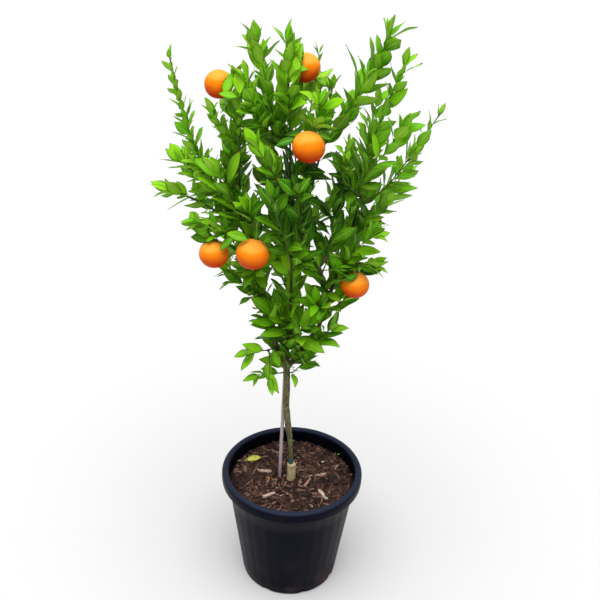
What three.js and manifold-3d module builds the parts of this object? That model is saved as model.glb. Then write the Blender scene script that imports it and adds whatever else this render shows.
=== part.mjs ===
// Potted mandarin tree: a grafted young tree with six ripe fruits, standing in a round nursery
// pot of bark mulch beside a thin stake. Millimetres, +Z up, origin at the middle of the pot's
// flat underside. Everything above the mulch is placed from the fork of the trunk.
import * as THREE from "three";
import { mergeVertices } from "three/addons/utils/BufferGeometryUtils.js";
import Module from "manifold-3d";

const wasm = await Module();
wasm.setup();

// Pot
const potHeight = 295;
const rimRadius = 165; // widest point of the rolled rim
const rimCrestRadius = 158; // top of the roll
const rimDepth = 33; // from the crest to the roll's lower edge
const wallTopRadius = 152; // outside of the wall under the rim
const baseRadius = 114; // outside of the wall at the ground
const baseEdge = 4; // rounding between wall and underside
const potWall = 2.6;
const potFloor = 5;
const potSides = 40;
const drainHoleCount = 8;
const drainHoleWidth = 15;
const drainHoleHeight = 8;
const drainHoleRise = 2.5; // from the ground to the lower edge of a drain hole
const lipDepth = 6; // straight part of the lip under the roll

// Mulch and what lies on it
const mulchDrop = 33; // from the rim's crest down to the mulch
const mulchRelief = 2.5;
const chipThickness = 4;
const chipSink = 1.5; // how deep a chip lies in the mulch
const fallenLeafLength = 46;
const clearance = 0.3; // gap between pieces that touch

// Stem
const rootstockRadius = 10.5;
const rootstockRise = 42; // above the mulch
const rootstockDepth = 70; // below the mulch
const trunkBaseRadius = 4.6;
const trunkRadius = 7.4;
const forkRise = 313; // from the mulch to the fork
const tapeHeight = 14;
const tapeThickness = 1.2;
const trunkSteps = 12;
const stakeRadius = 4;
const stakePastFork = 17; // how far the stake reaches above the fork
const stakeDepth = 190; // below the mulch
const stakeGap = 2.5; // between the stake and the trunk at the fork
const stakeLeanBack = 9.9; // from the foot to the head
const stakeFootX = -29;
const stakeHeadX = -2.4; // from the fork
const twigRadius = 2.3;
const twigTipRadius = 1;
const stalkRadius = 1.5;
const calyxRadius = 5.5;

// Leaves and fruit
const leafSize = 62; // a full-grown leaf; each twig's own size is a share of this
const leafWidthShare = 0.42; // width over length
const leafBelly = 0.45; // widest point, as a share of the length
const leafFold = 2.2; // rise of the margins over the midrib
const twigSides = 4;
const twigStep = 55; // length of one straight stretch of a twig
const leafDroop = 0.06; // fall of the tip, as a share of the length
const petiole = 7;
const leafOpenings = [0.95, 0.6]; // angle between leaf and stem at the root and tip of a twig, radians
const openingSpread = 0.125; // by how much that angle varies either way
const lengthSpread = 0.18; // by how much a leaf's length varies either way, as a share of it
const sunwardReach = 110; // distance from the trunk at which leaves fully face outwards
const edgeOn = 0.93; // cosine above which a leaf would be seen edge-on and is faced inwards
const nearlyUpright = 0.05; // sine below which a stem counts as upright

// The way a leaf faces, as shares of the stem's own direction and of three more.
const leafFacing = { along: 0.4, up: 0.7, outward: -0.25, sunward: 0.7 };

// The tuft of three leaves that closes each stem: place, turn, opening and size.
const tipTuft = [
  { share: 0.985, turn: 0.4, opening: 0.12, size: 0.85 },
  { share: 0.975, turn: 2.2, opening: 0.6, size: 0.8 },
  { share: 0.965, turn: 4.4, opening: 0.65, size: 0.75 },
];
const woodMargin = 13; // no leaf grows nearer than this to the middle of its limb
const goldenAngle = THREE.MathUtils.degToRad(137.5);
const fruitRadius = 31;
const fruitFlatness = 0.93; // height over width

const mulchTop = potHeight - mulchDrop;
const rimLow = potHeight - rimDepth;
const fork = new THREE.Vector3(-20, 0, mulchTop + forkRise);
const up = new THREE.Vector3(0, 0, 1);

const finishes = {
  pot: { color: 0x14161f, roughness: 0.42, metalness: 0 },
  mulch: { color: 0x35231a, roughness: 0.95, metalness: 0 },
  chip: { color: 0x8c6a4c, roughness: 0.9, metalness: 0 },
  fallenLeaf: { color: 0xb9a63a, roughness: 0.7, metalness: 0 },
  rootstock: { color: 0xb3a27a, roughness: 0.85, metalness: 0 },
  tape: { color: 0x1f4a45, roughness: 0.5, metalness: 0 },
  bark: { color: 0x6b6a45, roughness: 0.85, metalness: 0 },
  stake: { color: 0xa9989a, roughness: 0.8, metalness: 0 },
  leaf: { color: 0x3f8a12, roughness: 0.45, metalness: 0 },
  peel: { color: 0xff8c12, roughness: 0.42, metalness: 0 },
};

// A point of the crown, measured from the fork.
function crown(x, y, z) {
  return new THREE.Vector3(x, y, z).add(fork);
}

// A repeatable number from 0 to 1 for item n.
function vary(n) {
  const wave = Math.sin(n * 12.9898 + 4.1414) * 43758.5453;
  return wave - Math.floor(wave);
}

// A closed geometry as a solid that can be joined and cut.
function solidFrom(geometry) {
  const bare = geometry.index ? geometry.toNonIndexed() : geometry.clone();
  bare.deleteAttribute("normal");
  bare.deleteAttribute("uv");
  const merged = mergeVertices(bare, 1e-4);
  return new wasm.Manifold(
    new wasm.Mesh({
      numProp: 3,
      vertProperties: merged.attributes.position.array,
      triVerts: new Uint32Array(merged.index.array),
    }),
  );
}

// A solid as a geometry that a mesh can show.
function geometryFrom(solid) {
  const data = solid.getMesh();
  const geometry = new THREE.BufferGeometry();
  geometry.setAttribute("position", new THREE.BufferAttribute(data.vertProperties, 3));
  geometry.setIndex(new THREE.BufferAttribute(data.triVerts, 1));
  const flat = geometry.toNonIndexed();
  flat.computeVertexNormals();
  return flat;
}

function joined(solids) {
  return solids.reduce((sum, next) => sum.add(next));
}

function overlapping(a, b) {
  const boxA = a.boundingBox();
  const boxB = b.boundingBox();
  const apart = [0, 1, 2].some((k) => boxA.min[k] > boxB.max[k] || boxB.min[k] > boxA.max[k]);
  return !apart && !a.intersect(b).isEmpty();
}

const tree = new THREE.Group();

function addPiece(name, solid, finish) {
  const mesh = new THREE.Mesh(geometryFrom(solid), new THREE.MeshStandardMaterial(finish));
  mesh.name = name;
  tree.add(mesh);
}

// A curve as the straight stretches that a stem along it is made of.
function stretched(path, steps) {
  const stretches = new THREE.CurvePath();
  const ends = path.getSpacedPoints(steps);
  for (let k = 0; k < steps; k += 1) {
    stretches.add(new THREE.LineCurve3(ends[k], ends[k + 1]));
  }
  return stretches;
}

// A round stem along a curve; radiusAt gives its radius from 0 at the root to 1 at the tip.
function roundStem(path, radiusAt, sides, steps) {
  const corners = Array.from({ length: sides }, (_, k) => {
    const angle = (2 * Math.PI * k) / sides;
    return new THREE.Vector2(Math.cos(angle), Math.sin(angle));
  });
  const geometry = new THREE.ExtrudeGeometry(new THREE.Shape(corners), {
    steps,
    extrudePath: path,
    bevelEnabled: false,
  });
  const centres = path.getSpacedPoints(steps);
  const position = geometry.attributes.position;
  const point = new THREE.Vector3();
  for (let i = 0; i < position.count; i += 1) {
    point.fromBufferAttribute(position, i);
    const gaps = centres.map((centre) => centre.distanceToSquared(point));
    const ring = gaps.indexOf(Math.min(...gaps));
    point.sub(centres[ring]).multiplyScalar(radiusAt(ring / steps)).add(centres[ring]);
    position.setXYZ(i, point.x, point.y, point.z);
  }
  return solidFrom(geometry);
}

function taper(start, end) {
  return (share) => THREE.MathUtils.lerp(start, end, share);
}

// ---- Pot ----

// Outside radius of the sloping wall at a height.
function wallAt(z) {
  return THREE.MathUtils.lerp(baseRadius, wallTopRadius, z / rimLow);
}

function potSolid() {
  const rollRadius = (rimRadius - rimCrestRadius) * 1.2;
  const rollPoints = Array.from({ length: 6 }, (_, k) => {
    const angle = (Math.PI * k) / 5;
    return new THREE.Vector2(
      rimCrestRadius - 1 + rollRadius * Math.cos(angle),
      potHeight - rollRadius + rollRadius * Math.sin(angle),
    );
  });
  const innerFloorRadius = wallAt(potFloor) - potWall;
  const profile = [
    new THREE.Vector2(0, 0),
    new THREE.Vector2(baseRadius - baseEdge, 0),
    new THREE.Vector2(wallAt(baseEdge), baseEdge),
    new THREE.Vector2(wallAt(rimLow), rimLow),
    new THREE.Vector2(rimRadius - lipDepth / 2, rimLow + 1),
    new THREE.Vector2(rimRadius, rimLow + lipDepth),
    ...rollPoints,
    new THREE.Vector2(wallAt(rimLow) - potWall, rimLow),
    new THREE.Vector2(innerFloorRadius, potFloor),
    new THREE.Vector2(0, potFloor),
  ];
  const shell = new THREE.LatheGeometry(profile, potSides).rotateX(Math.PI / 2);
  let pot = solidFrom(shell);
  for (let k = 0; k < drainHoleCount; k += 1) {
    const hole = new THREE.BoxGeometry(4 * potWall + 12, drainHoleWidth, drainHoleHeight);
    hole.translate(baseRadius - potWall, 0, drainHoleRise + drainHoleHeight / 2);
    hole.rotateZ((2 * Math.PI * (k + 0.4)) / drainHoleCount);
    pot = pot.subtract(solidFrom(hole));
  }
  return pot;
}

// ---- Rootstock, stake and trunk ----

const graft = new THREE.Vector3(-2, 2, mulchTop + rootstockRise);

function rootstockSolid(extra) {
  const height = rootstockRise + rootstockDepth + 2 * extra;
  const top = rootstockRadius + extra;
  const stub = new THREE.CylinderGeometry(top, top * 1.08, height, 12).rotateX(Math.PI / 2);
  stub.translate(graft.x, graft.y, graft.z + extra - height / 2);
  return solidFrom(stub);
}

// The stake stands behind the trunk and leans back to its head beside the fork.
function stakeSolid(extra) {
  const behind = trunkRadius + stakeRadius + stakeGap;
  const head = crown(stakeHeadX, behind, stakePastFork);
  const foot = new THREE.Vector3(stakeFootX, behind - stakeLeanBack, mulchTop);
  const along = head.clone().sub(foot).normalize();
  const buried = foot.clone().addScaledVector(along, -stakeDepth - extra);
  const length = head.distanceTo(buried) + extra;
  const stake = new THREE.CylinderGeometry(stakeRadius + extra, stakeRadius + extra, length, 8);
  stake.translate(0, length / 2, 0);
  stake.applyQuaternion(new THREE.Quaternion().setFromUnitVectors(new THREE.Vector3(0, 1, 0), along));
  stake.translate(buried.x, buried.y, buried.z);
  return solidFrom(stake);
}

const trunkPath = new THREE.CatmullRomCurve3([
  new THREE.Vector3(graft.x - 2, graft.y + 1, graft.z + clearance),
  new THREE.Vector3(graft.x - 3, graft.y + 1, graft.z + forkRise * 0.15),
  new THREE.Vector3(graft.x - 9, graft.y, graft.z + forkRise * 0.32),
  crown(2, 0, forkRise * -0.34),
  crown(2, 0, forkRise * -0.14),
  crown(0, 0, 0),
]);

function trunkRadiusAt(share) {
  return THREE.MathUtils.lerp(
    trunkBaseRadius,
    trunkRadius,
    THREE.MathUtils.smoothstep(share, 0.12, 0.4),
  );
}

// Each limb leaves the fork or another limb. Points are measured from the fork.
const limbs = {
  right: {
    radii: [6.2, 2.4],
    points: [[0, 0, -8], [30, -8, 50], [65, -12, 105], [85, -15, 190], [105, -15, 260],
      [125, -12, 345], [140, -8, 420]],
  },
  left: {
    radii: [5.6, 2.3],
    points: [[0, 0, -12], [-20, 0, 38], [-36, 2, 115], [-55, 6, 168], [-85, 10, 275],
      [-100, 10, 335], [-105, 8, 405], [-103, -3, 452]],
  },
  middle: {
    radii: [6, 2.2],
    points: [[0, 0, -6], [0, 5, 40], [0, 12, 120], [0, 15, 205], [0, 10, 300], [0, 5, 390],
      [-4, 0, 465], [-6, -8, 520]],
  },
  midRight: { radii: [3.6, 2.2], points: [[0, 15, 205], [20, 8, 300], [36, 2, 400], [56, -2, 500]] },
  front: { radii: [4.4, 2], points: [[0, 6, 55], [5, -30, 120], [5, -65, 200], [5, -90, 290]] },
  back: { radii: [4.4, 2], points: [[0, 10, 90], [-5, 55, 160], [0, 95, 240], [10, 125, 330]] },
  backLeft: { radii: [3.6, 2], points: [[-46, 4, 140], [-65, 50, 205], [-85, 85, 280], [-95, 100, 350]] },
  backRight: { radii: [3.6, 2], points: [[75, -13, 140], [95, 35, 205], [115, 75, 280], [125, 90, 350]] },
};

for (const limb of Object.values(limbs)) {
  limb.path = new THREE.CatmullRomCurve3(limb.points.map((point) => crown(...point)));
}
limbs.trunk = { path: trunkPath };

function woodSolid(extra) {
  const trunk = roundStem(trunkPath, (share) => trunkRadiusAt(share) + extra, 10, trunkSteps);
  const branches = Object.values(limbs).filter((limb) => limb.radii);
  const solids = branches.map((limb) =>
    roundStem(limb.path, taper(limb.radii[0] + extra, limb.radii[1] + extra), 6, 7),
  );
  return joined([trunk, ...solids]);
}

function tapeSolid() {
  const [bottom, next] = trunkPath.getSpacedPoints(trunkSteps);
  const along = next.clone().sub(bottom).normalize();
  const start = bottom.clone().addScaledVector(along, 2 * clearance);
  const end = start.clone().addScaledVector(along, tapeHeight);
  const outer = trunkBaseRadius + clearance + tapeThickness;
  const band = roundStem(new THREE.LineCurve3(start, end), taper(outer, outer), 10, 1);
  return band.subtract(woodAndGap);
}

// ---- Mulch, bark chips and a fallen leaf ----

function reliefAt(x, y) {
  const ripples = Math.sin(x / 17 + 1.3) * Math.cos(y / 21) + Math.sin((x + y) / 11);
  return (mulchRelief * ripples) / 2;
}

const chips = [
  { x: -67, y: 18, turn: -0.35, length: 34, width: 7 },
  { x: 62, y: 10, turn: 0.5, length: 40, width: 8 },
  { x: 74, y: -62, turn: -0.8, length: 36, width: 9 },
  { x: -52, y: -70, turn: 0.2, length: 30, width: 10 },
];

function chipSolid(chip, extra) {
  const block = new THREE.BoxGeometry(
    chip.length + 2 * extra,
    chip.width + 2 * extra,
    chipThickness + 2 * extra,
  );
  block.rotateZ(chip.turn);
  block.translate(chip.x, chip.y, mulchTop + reliefAt(chip.x, chip.y) + chipThickness / 2 - chipSink);
  return solidFrom(block);
}

// The fallen leaf, lifted by shift so that a few lifted copies cut its bed in the mulch.
function fallenLeaf(shift) {
  const base = new THREE.Vector3(-118, 52, mulchTop + reliefAt(-100, 60) + 1.5 + shift);
  const direction = new THREE.Vector3(0.93, 0.36, 0).normalize();
  return leafSolid({ base, direction, facing: up, length: fallenLeafLength }, 0, 0);
}

function mulchSolid() {
  const innerAt = (z) => wallAt(z) - potWall - 3 * clearance;
  const floor = potFloor + clearance;
  const edge = mulchTop - 3;
  const rings = [0.96, 0.8, 0.62, 0.44, 0.24];
  const profile = [
    new THREE.Vector2(0, floor),
    new THREE.Vector2(innerAt(floor), floor),
    new THREE.Vector2(innerAt(edge), edge),
    ...rings.map((share) => new THREE.Vector2(innerAt(edge) * share, mulchTop)),
    new THREE.Vector2(0, mulchTop),
  ];
  const body = new THREE.LatheGeometry(profile, 28).rotateX(Math.PI / 2);
  const position = body.attributes.position;
  for (let i = 0; i < position.count; i += 1) {
    if (position.getZ(i) > edge + 1) {
      position.setZ(i, position.getZ(i) + reliefAt(position.getX(i), position.getY(i)));
    }
  }
  const buried = [
    rootstockSolid(clearance),
    stakeSolid(clearance),
    ...[-1, 0, 1].map((step) => fallenLeaf(2 * clearance * step)),
    ...chips.map((chip) => chipSolid(chip, clearance)),
  ];
  return buried.reduce((mulch, piece) => mulch.subtract(piece), solidFrom(body));
}

// ---- Fruit ----

// Each fruit: its middle from the fork, its size, and the way from its middle to its stalk.
const fruits = [
  { name: "mandarin_1", centre: [-140, -30, 625], size: 0.9, stalk: [0.6, 0.45, -0.66], twig: "upper_left" },
  { name: "mandarin_2", centre: [20, -5, 655], size: 0.92, stalk: [0.5, 0.5, -0.7], twig: "top_between" },
  { name: "mandarin_3", centre: [30, -90, 530], size: 1.03, stalk: [0.2, 0.4, 0.9], twig: "front_upper" },
  { name: "mandarin_4", centre: [-150, -60, 295], size: 1, stalk: [0.15, 0.3, 0.94], twig: "left_low" },
  { name: "mandarin_5", centre: [-70, -110, 320], size: 1.06, stalk: [0.1, 0.5, 0.86], twig: "left_front" },
  { name: "mandarin_6", centre: [135, -45, 230], size: 0.98, stalk: [0.1, 0.15, 0.98], twig: "right_low" },
];

// The middle of a fruit, pushed out of any stem that it would touch.
function fruitMiddle(fruit) {
  const middle = crown(...fruit.centre);
  const room = fruitRadius * fruit.size + twigRadius + 2 * clearance;
  const paths = [...Object.values(limbs).map((limb) => limb.path), ...twigs.flatMap((twig) => twig.paths)];
  for (const path of paths) {
    const away = middle.clone().sub(nearestOn(path, middle));
    const shortfall = Math.max(0, room - away.length());
    middle.addScaledVector(away.normalize(), shortfall);
  }
  return middle;
}

function fruitSolid(fruit, extra) {
  const radius = fruitRadius * fruit.size + extra;
  const rings = 8;
  const profile = Array.from({ length: rings + 1 }, (_, k) => {
    const angle = -Math.PI / 2 + (Math.PI * k) / rings;
    const dimple = 1 - 0.05 * Math.abs(Math.sin(angle)) ** 12;
    const across = k === 0 || k === rings ? 0 : Math.cos(angle);
    return new THREE.Vector2(radius * across, radius * fruitFlatness * dimple * Math.sin(angle));
  });
  const body = new THREE.LatheGeometry(profile, 12);
  const axis = new THREE.Vector3(...fruit.stalk).normalize();
  body.applyQuaternion(new THREE.Quaternion().setFromUnitVectors(new THREE.Vector3(0, 1, 0), axis));
  body.translate(fruit.middle.x, fruit.middle.y, fruit.middle.z);
  return solidFrom(body);
}

// The stalk runs from the fruit's crown to the nearest point of its twig and ends in a calyx.
function stalkSolid(fruit, twigPath) {
  const axis = new THREE.Vector3(...fruit.stalk).normalize();
  const reach = fruitRadius * fruit.size * fruitFlatness * 0.95;
  const foot = fruit.middle.clone().addScaledVector(axis, reach + clearance);
  const seat = nearestOn(twigPath, foot);
  const bend = foot.clone().addScaledVector(axis, foot.distanceTo(seat) * 0.45);
  const path = new THREE.CatmullRomCurve3([foot, bend, seat]);
  const stalk = roundStem(path, taper(stalkRadius, stalkRadius), 6, 4);
  const calyx = new THREE.CylinderGeometry(calyxRadius * 0.4, calyxRadius, 2.4, 5);
  calyx.applyQuaternion(new THREE.Quaternion().setFromUnitVectors(new THREE.Vector3(0, 1, 0), axis));
  const middle = foot.clone().addScaledVector(axis, 1.2);
  calyx.translate(middle.x, middle.y, middle.z);
  return joined([stalk, solidFrom(calyx)]).subtract(fruitSolid(fruit, clearance));
}

// ---- Leafy twigs ----

// Each twig grows from the nearest point of its limb through the points given from the fork.
// leaf is its leaf size as a share of a full leaf, gap the spacing of its leaves, lift how far
// they turn up (or down, below 0), side a second shoot that forks off it.
const twigs = [
  { name: "far_left", limb: "left", leaf: [0.95, 0.26], gap: 16, lift: 0.25,
    points: [[-135, 0, 385], [-165, -5, 435], [-180, -12, 470], [-195, -20, 515], [-205, -25, 565],
      [-220, -25, 620], [-230, -20, 674]] },
  { name: "upper_left", limb: "left", leaf: [0.7, 0.5], gap: 14, lift: 0.2,
    points: [[-102, -14, 485], [-103, -22, 520], [-102, -26, 562], [-103, -32, 605], [-108, -36, 645]],
    side: [[-103, -22, 515], [-124, -36, 530], [-140, -44, 555], [-150, -48, 582]] },
  { name: "top_left", limb: "middle", leaf: [0.9, 0.72], gap: 17, lift: 0.3,
    points: [[-20, -2, 490], [-40, -8, 565], [-50, -10, 615], [-60, -12, 665], [-72, -12, 698]],
    side: [[-32, -7, 520], [-60, -35, 550], [-75, -45, 595], [-85, -50, 635]] },
  { name: "top_middle", limb: "middle", leaf: [0.95, 0.75], gap: 17, lift: 0.3,
    points: [[-7, -16, 548], [-10, -25, 600], [-15, -28, 665], [-15, -28, 704]] },
  { name: "top_between", limb: "midRight", leaf: [0.95, 0.9], gap: 18, lift: 0.15,
    points: [[54, 18, 470], [62, 22, 520], [66, 10, 570], [72, 2, 620]] },
  { name: "top_right", limb: "midRight", leaf: [1.1, 0.85], gap: 18, lift: 0.3,
    points: [[66, -5, 520], [84, -6, 548], [110, -10, 595], [138, -15, 640], [156, -15, 675],
      [167, -10, 718]] },
  { name: "right_high", limb: "right", leaf: [1, 0.55], gap: 16, lift: 0.25,
    points: [[140, -12, 475], [155, -25, 540], [175, -32, 600], [185, -35, 640], [200, -35, 676]] },
  { name: "far_right", limb: "right", leaf: [0.95, 0.45], gap: 17, lift: 0.2,
    points: [[150, -10, 390], [190, -15, 435], [220, -20, 485], [240, -25, 525], [260, -25, 555],
      [275, -25, 585]] },
  { name: "right_front_high", limb: "right", leaf: [1, 0.8], gap: 18, lift: 0.15,
    points: [[120, -35, 410], [145, -50, 475], [170, -55, 505], [190, -60, 535], [200, -60, 560]],
    side: [[122, -36, 415], [106, -58, 446], [98, -72, 484], [98, -80, 520]] },
  { name: "left_front_high", limb: "left", leaf: [1.15, 0.95], gap: 20, lift: 0.1,
    points: [[-90, -22, 340], [-105, -40, 380], [-120, -50, 420], [-135, -55, 460]] },
  { name: "left_upright", limb: "left", leaf: [0.85, 0.7], gap: 18, lift: 0.2,
    points: [[-116, 22, 400], [-118, 30, 450], [-110, 32, 505], [-108, 32, 545]] },
  { name: "left_outer", limb: "left", leaf: [1, 0.85], gap: 18, lift: 0,
    points: [[-118, 8, 352], [-158, 16, 398], [-190, 18, 434], [-220, 14, 458]] },
  { name: "left_wide", limb: "left", leaf: [0.95, 0.8], gap: 19, lift: 0,
    points: [[-106, 24, 300], [-152, 30, 350], [-205, 22, 385], [-245, 12, 396]] },
  { name: "left_low", limb: "left", leaf: [0.95, 0.8], gap: 18, lift: -0.1,
    points: [[-90, -14, 278], [-104, -36, 315], [-135, -45, 345], [-178, -48, 355]] },
  { name: "left_front", limb: "left", leaf: [0.95, 0.9], gap: 18, lift: 0,
    points: [[-72, -24, 232], [-60, -66, 310], [-66, -82, 375], [-80, -95, 400]] },
  { name: "left_lowest", limb: "left", leaf: [0.9, 0.7], gap: 18, lift: -0.2,
    points: [[-60, -4, 160], [-80, -12, 190], [-105, -20, 222], [-125, -25, 245]] },
  { name: "front_left", limb: "front", leaf: [1, 0.85], gap: 20, lift: 0,
    points: [[0, -100, 300], [-8, -114, 350], [-22, -126, 400], [-35, -134, 440]] },
  { name: "front_middle", limb: "front", leaf: [1, 0.85], gap: 20, lift: 0,
    points: [[16, -86, 268], [22, -104, 350], [20, -115, 410], [12, -122, 455]] },
  { name: "front_rising", limb: "middle", leaf: [1, 0.85], gap: 19, lift: 0.1,
    points: [[-6, -40, 400], [-20, -78, 450], [-45, -90, 495], [-65, -95, 528]] },
  { name: "front_upper", limb: "middle", leaf: [1, 0.95], gap: 20, lift: 0,
    points: [[14, -20, 440], [34, -46, 500], [46, -62, 560], [48, -72, 605]] },
  { name: "right_front", limb: "right", leaf: [1, 0.8], gap: 19, lift: 0.1,
    points: [[94, -28, 228], [112, -46, 285], [136, -60, 325], [160, -68, 348]] },
  { name: "right_middle", limb: "right", leaf: [1, 0.85], gap: 18, lift: 0.1,
    points: [[112, -18, 292], [130, -30, 335], [152, -38, 375], [176, -40, 400]] },
  { name: "front_right", limb: "right", leaf: [1.05, 0.9], gap: 20, lift: 0,
    points: [[80, -26, 190], [66, -55, 255], [48, -75, 305], [30, -84, 338]],
    side: [[66, -55, 252], [78, -64, 300], [82, -70, 350], [82, -74, 396]] },
  { name: "right_low", limb: "right", leaf: [0.9, 0.7], gap: 19, lift: 0,
    points: [[112, -20, 266], [128, -36, 274], [146, -44, 277], [168, -42, 274]] },
  { name: "low_right", limb: "right", leaf: [1, 0.9], gap: 18, lift: -0.1,
    points: [[42, -18, 68], [56, -30, 80], [72, -38, 98], [88, -44, 120]] },
  { name: "low_front", limb: "front", leaf: [1.15, 1.15], gap: 20, lift: -0.2,
    points: [[16, -38, 100], [24, -52, 112], [30, -64, 128]],
    side: [[12, -30, 98], [-14, -48, 130], [-30, -58, 160]] },
  { name: "low_left", limb: "left", leaf: [1.1, 0.9], gap: 18, lift: -0.3,
    points: [[-28, -10, 50], [-42, -25, 56], [-58, -35, 57], [-74, -40, 60]],
    side: [[-40, -20, 54], [-36, -44, 30], [-34, -58, 6]] },
  { name: "trunk_left", limb: "trunk", leaf: [0.9, 0.9], gap: 18, lift: -0.5,
    points: [[-14, -12, -14], [-26, -20, -4], [-42, -30, 4], [-58, -36, 0]] },
  { name: "trunk_right", limb: "trunk", leaf: [0.95, 0.8], gap: 18, lift: -0.4,
    points: [[12, -10, -16], [20, -18, 4], [32, -24, 20], [42, -30, 34]] },
  { name: "right_lower", limb: "right", leaf: [1, 0.9], gap: 19, lift: 0,
    points: [[86, -18, 150], [98, -25, 168], [114, -30, 184]],
    side: [[92, -20, 158], [70, -50, 176], [56, -70, 196]] },
  { name: "back_top", limb: "back", leaf: [1, 0.8], gap: 19, lift: 0.15,
    points: [[10, 132, 350], [5, 150, 420], [0, 160, 490], [10, 165, 560]] },
  { name: "back_left_mid", limb: "back", leaf: [1.05, 0.85], gap: 19, lift: 0.1,
    points: [[-14, 108, 262], [-46, 142, 330], [-66, 168, 405], [-75, 180, 470]] },
  { name: "back_right_mid", limb: "back", leaf: [1.05, 0.85], gap: 19, lift: 0.1,
    points: [[22, 104, 258], [66, 146, 312], [102, 170, 370], [120, 182, 430]] },
  { name: "back_left_high", limb: "backLeft", leaf: [1, 0.75], gap: 19, lift: 0.2,
    points: [[-100, 106, 362], [-120, 120, 430], [-130, 125, 500], [-135, 125, 570]] },
  { name: "back_left_wide", limb: "backLeft", leaf: [1, 0.8], gap: 19, lift: 0,
    points: [[-100, 82, 290], [-148, 100, 340], [-190, 110, 388], [-218, 115, 428]] },
  { name: "back_right_high", limb: "backRight", leaf: [1, 0.75], gap: 19, lift: 0.2,
    points: [[130, 95, 362], [145, 105, 430], [155, 105, 500], [165, 100, 570]] },
  { name: "back_right_wide", limb: "backRight", leaf: [1, 0.8], gap: 19, lift: 0,
    points: [[128, 70, 282], [174, 76, 338], [206, 80, 388], [228, 80, 424]] },
  { name: "back_crown_right", limb: "middle", leaf: [1, 0.75], gap: 19, lift: 0.2,
    points: [[6, 28, 400], [16, 68, 470], [30, 85, 540], [40, 90, 610], [45, 90, 668]] },
  { name: "back_crown_left", limb: "middle", leaf: [1, 0.75], gap: 19, lift: 0.2,
    points: [[-10, 26, 370], [-40, 64, 450], [-55, 80, 530], [-60, 85, 600], [-65, 85, 655]] },
  { name: "back_low", limb: "back", leaf: [1.1, 0.9], gap: 19, lift: -0.1,
    points: [[-12, 62, 160], [-22, 88, 185], [-32, 122, 220], [-40, 150, 262]] },
  { name: "back_low_right", limb: "backRight", leaf: [1.1, 0.9], gap: 19, lift: -0.1,
    points: [[92, 18, 170], [110, 58, 202], [134, 90, 240], [152, 108, 280]] },
  { name: "back_low_left", limb: "backLeft", leaf: [1.1, 0.9], gap: 19, lift: -0.1,
    points: [[-62, 30, 165], [-82, 64, 192], [-112, 90, 232], [-140, 106, 275]] },
  { name: "back_deep", limb: "back", leaf: [1.1, 0.85], gap: 19, lift: 0,
    points: [[4, 92, 205], [14, 140, 240], [20, 182, 292], [25, 200, 345]] },
];

function nearestOn(path, point) {
  const samples = path.getSpacedPoints(120);
  const gaps = samples.map((sample) => sample.distanceToSquared(point));
  return samples[gaps.indexOf(Math.min(...gaps))];
}

// A leaf blade: a slim wedge whose lower edge is the midrib and whose two side corners are
// raised. trim shortens it at the stem end.
function leafSolid(leaf, extra, trim) {
  const side = new THREE.Vector3().crossVectors(leaf.facing, leaf.direction).normalize();
  const normal = new THREE.Vector3().crossVectors(leaf.direction, side);
  const halfWidth = (leaf.length * leafWidthShare) / 2;
  const belly = leaf.length * leafBelly;
  const blade = new THREE.TetrahedronGeometry(Math.sqrt(3), 0);
  const position = blade.attributes.position;
  for (let i = 0; i < position.count; i += 1) {
    const onMidrib = position.getZ(i) < 0;
    const end = Math.sign(position.getX(i));
    const edge = Math.sign(position.getY(i));
    const point = leaf.base.clone();
    if (onMidrib) {
      point.addScaledVector(leaf.direction, end > 0 ? leaf.length + extra : trim);
      point.addScaledVector(normal, -extra - (end > 0 ? leaf.length * leafDroop : 0));
    } else {
      point.addScaledVector(leaf.direction, belly);
      point.addScaledVector(side, edge * (halfWidth + extra));
      point.addScaledVector(normal, leafFold + extra);
    }
    position.setXYZ(i, point.x, point.y, point.z);
  }
  return solidFrom(blade);
}

// A leaf at a share of the way along a stem, turned round it and opened away from it.
function leafOn(path, share, turn, opening, length, lift) {
  const middle = stretched(path, stepsOf(path));
  const along = middle.getTangentAt(share);
  const across = new THREE.Vector3().crossVectors(along, up);
  if (across.length() < nearlyUpright) {
    across.set(1, 0, 0);
  }
  across.normalize();
  const outward = across.applyAxisAngle(along, turn);
  const direction = along.clone().multiplyScalar(Math.cos(opening));
  direction.addScaledVector(outward, Math.sin(opening)).addScaledVector(up, lift).normalize();
  const base = middle.getPointAt(share);
  const sunward = base.clone().sub(fork).setZ(0).divideScalar(sunwardReach).clampLength(0, 1);
  const facing = along.clone().multiplyScalar(leafFacing.along).addScaledVector(up, leafFacing.up);
  facing.addScaledVector(outward, leafFacing.outward).addScaledVector(sunward, leafFacing.sunward);
  facing.normalize();
  if (Math.abs(facing.dot(direction)) > edgeOn) {
    facing.copy(outward).negate();
  }
  return { base, direction, facing, length };
}

function stepsOf(path) {
  return Math.max(3, Math.round(path.getLength() / twigStep));
}

// Leaves in a spiral along a stem, with a tuft at its tip.
function leavesAlong(path, twig, seed, first) {
  const length = path.getLength();
  const count = Math.max(2, Math.floor((length * (1 - first)) / twig.gap));
  const leaves = [];
  for (let k = 0; k < count; k += 1) {
    const share = first + ((1 - first) * (k + 0.5)) / count;
    const scale = THREE.MathUtils.lerp(twig.leaf[0], twig.leaf[1], share);
    leaves.push({
      share,
      turn: goldenAngle * k + 2 * Math.PI * vary(seed),
      opening: THREE.MathUtils.lerp(...leafOpenings, share) + openingSpread * (2 * vary(seed + k) - 1),
      length: leafSize * scale * (1 + lengthSpread * (2 * vary(seed + 7 * k) - 1)),
    });
  }
  for (const { size, ...leaf } of tipTuft) {
    leaves.push({ ...leaf, length: leafSize * twig.leaf[1] * size });
  }
  return leaves;
}

const wood = woodSolid(0);
const woodAndGap = woodSolid(clearance);

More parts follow.
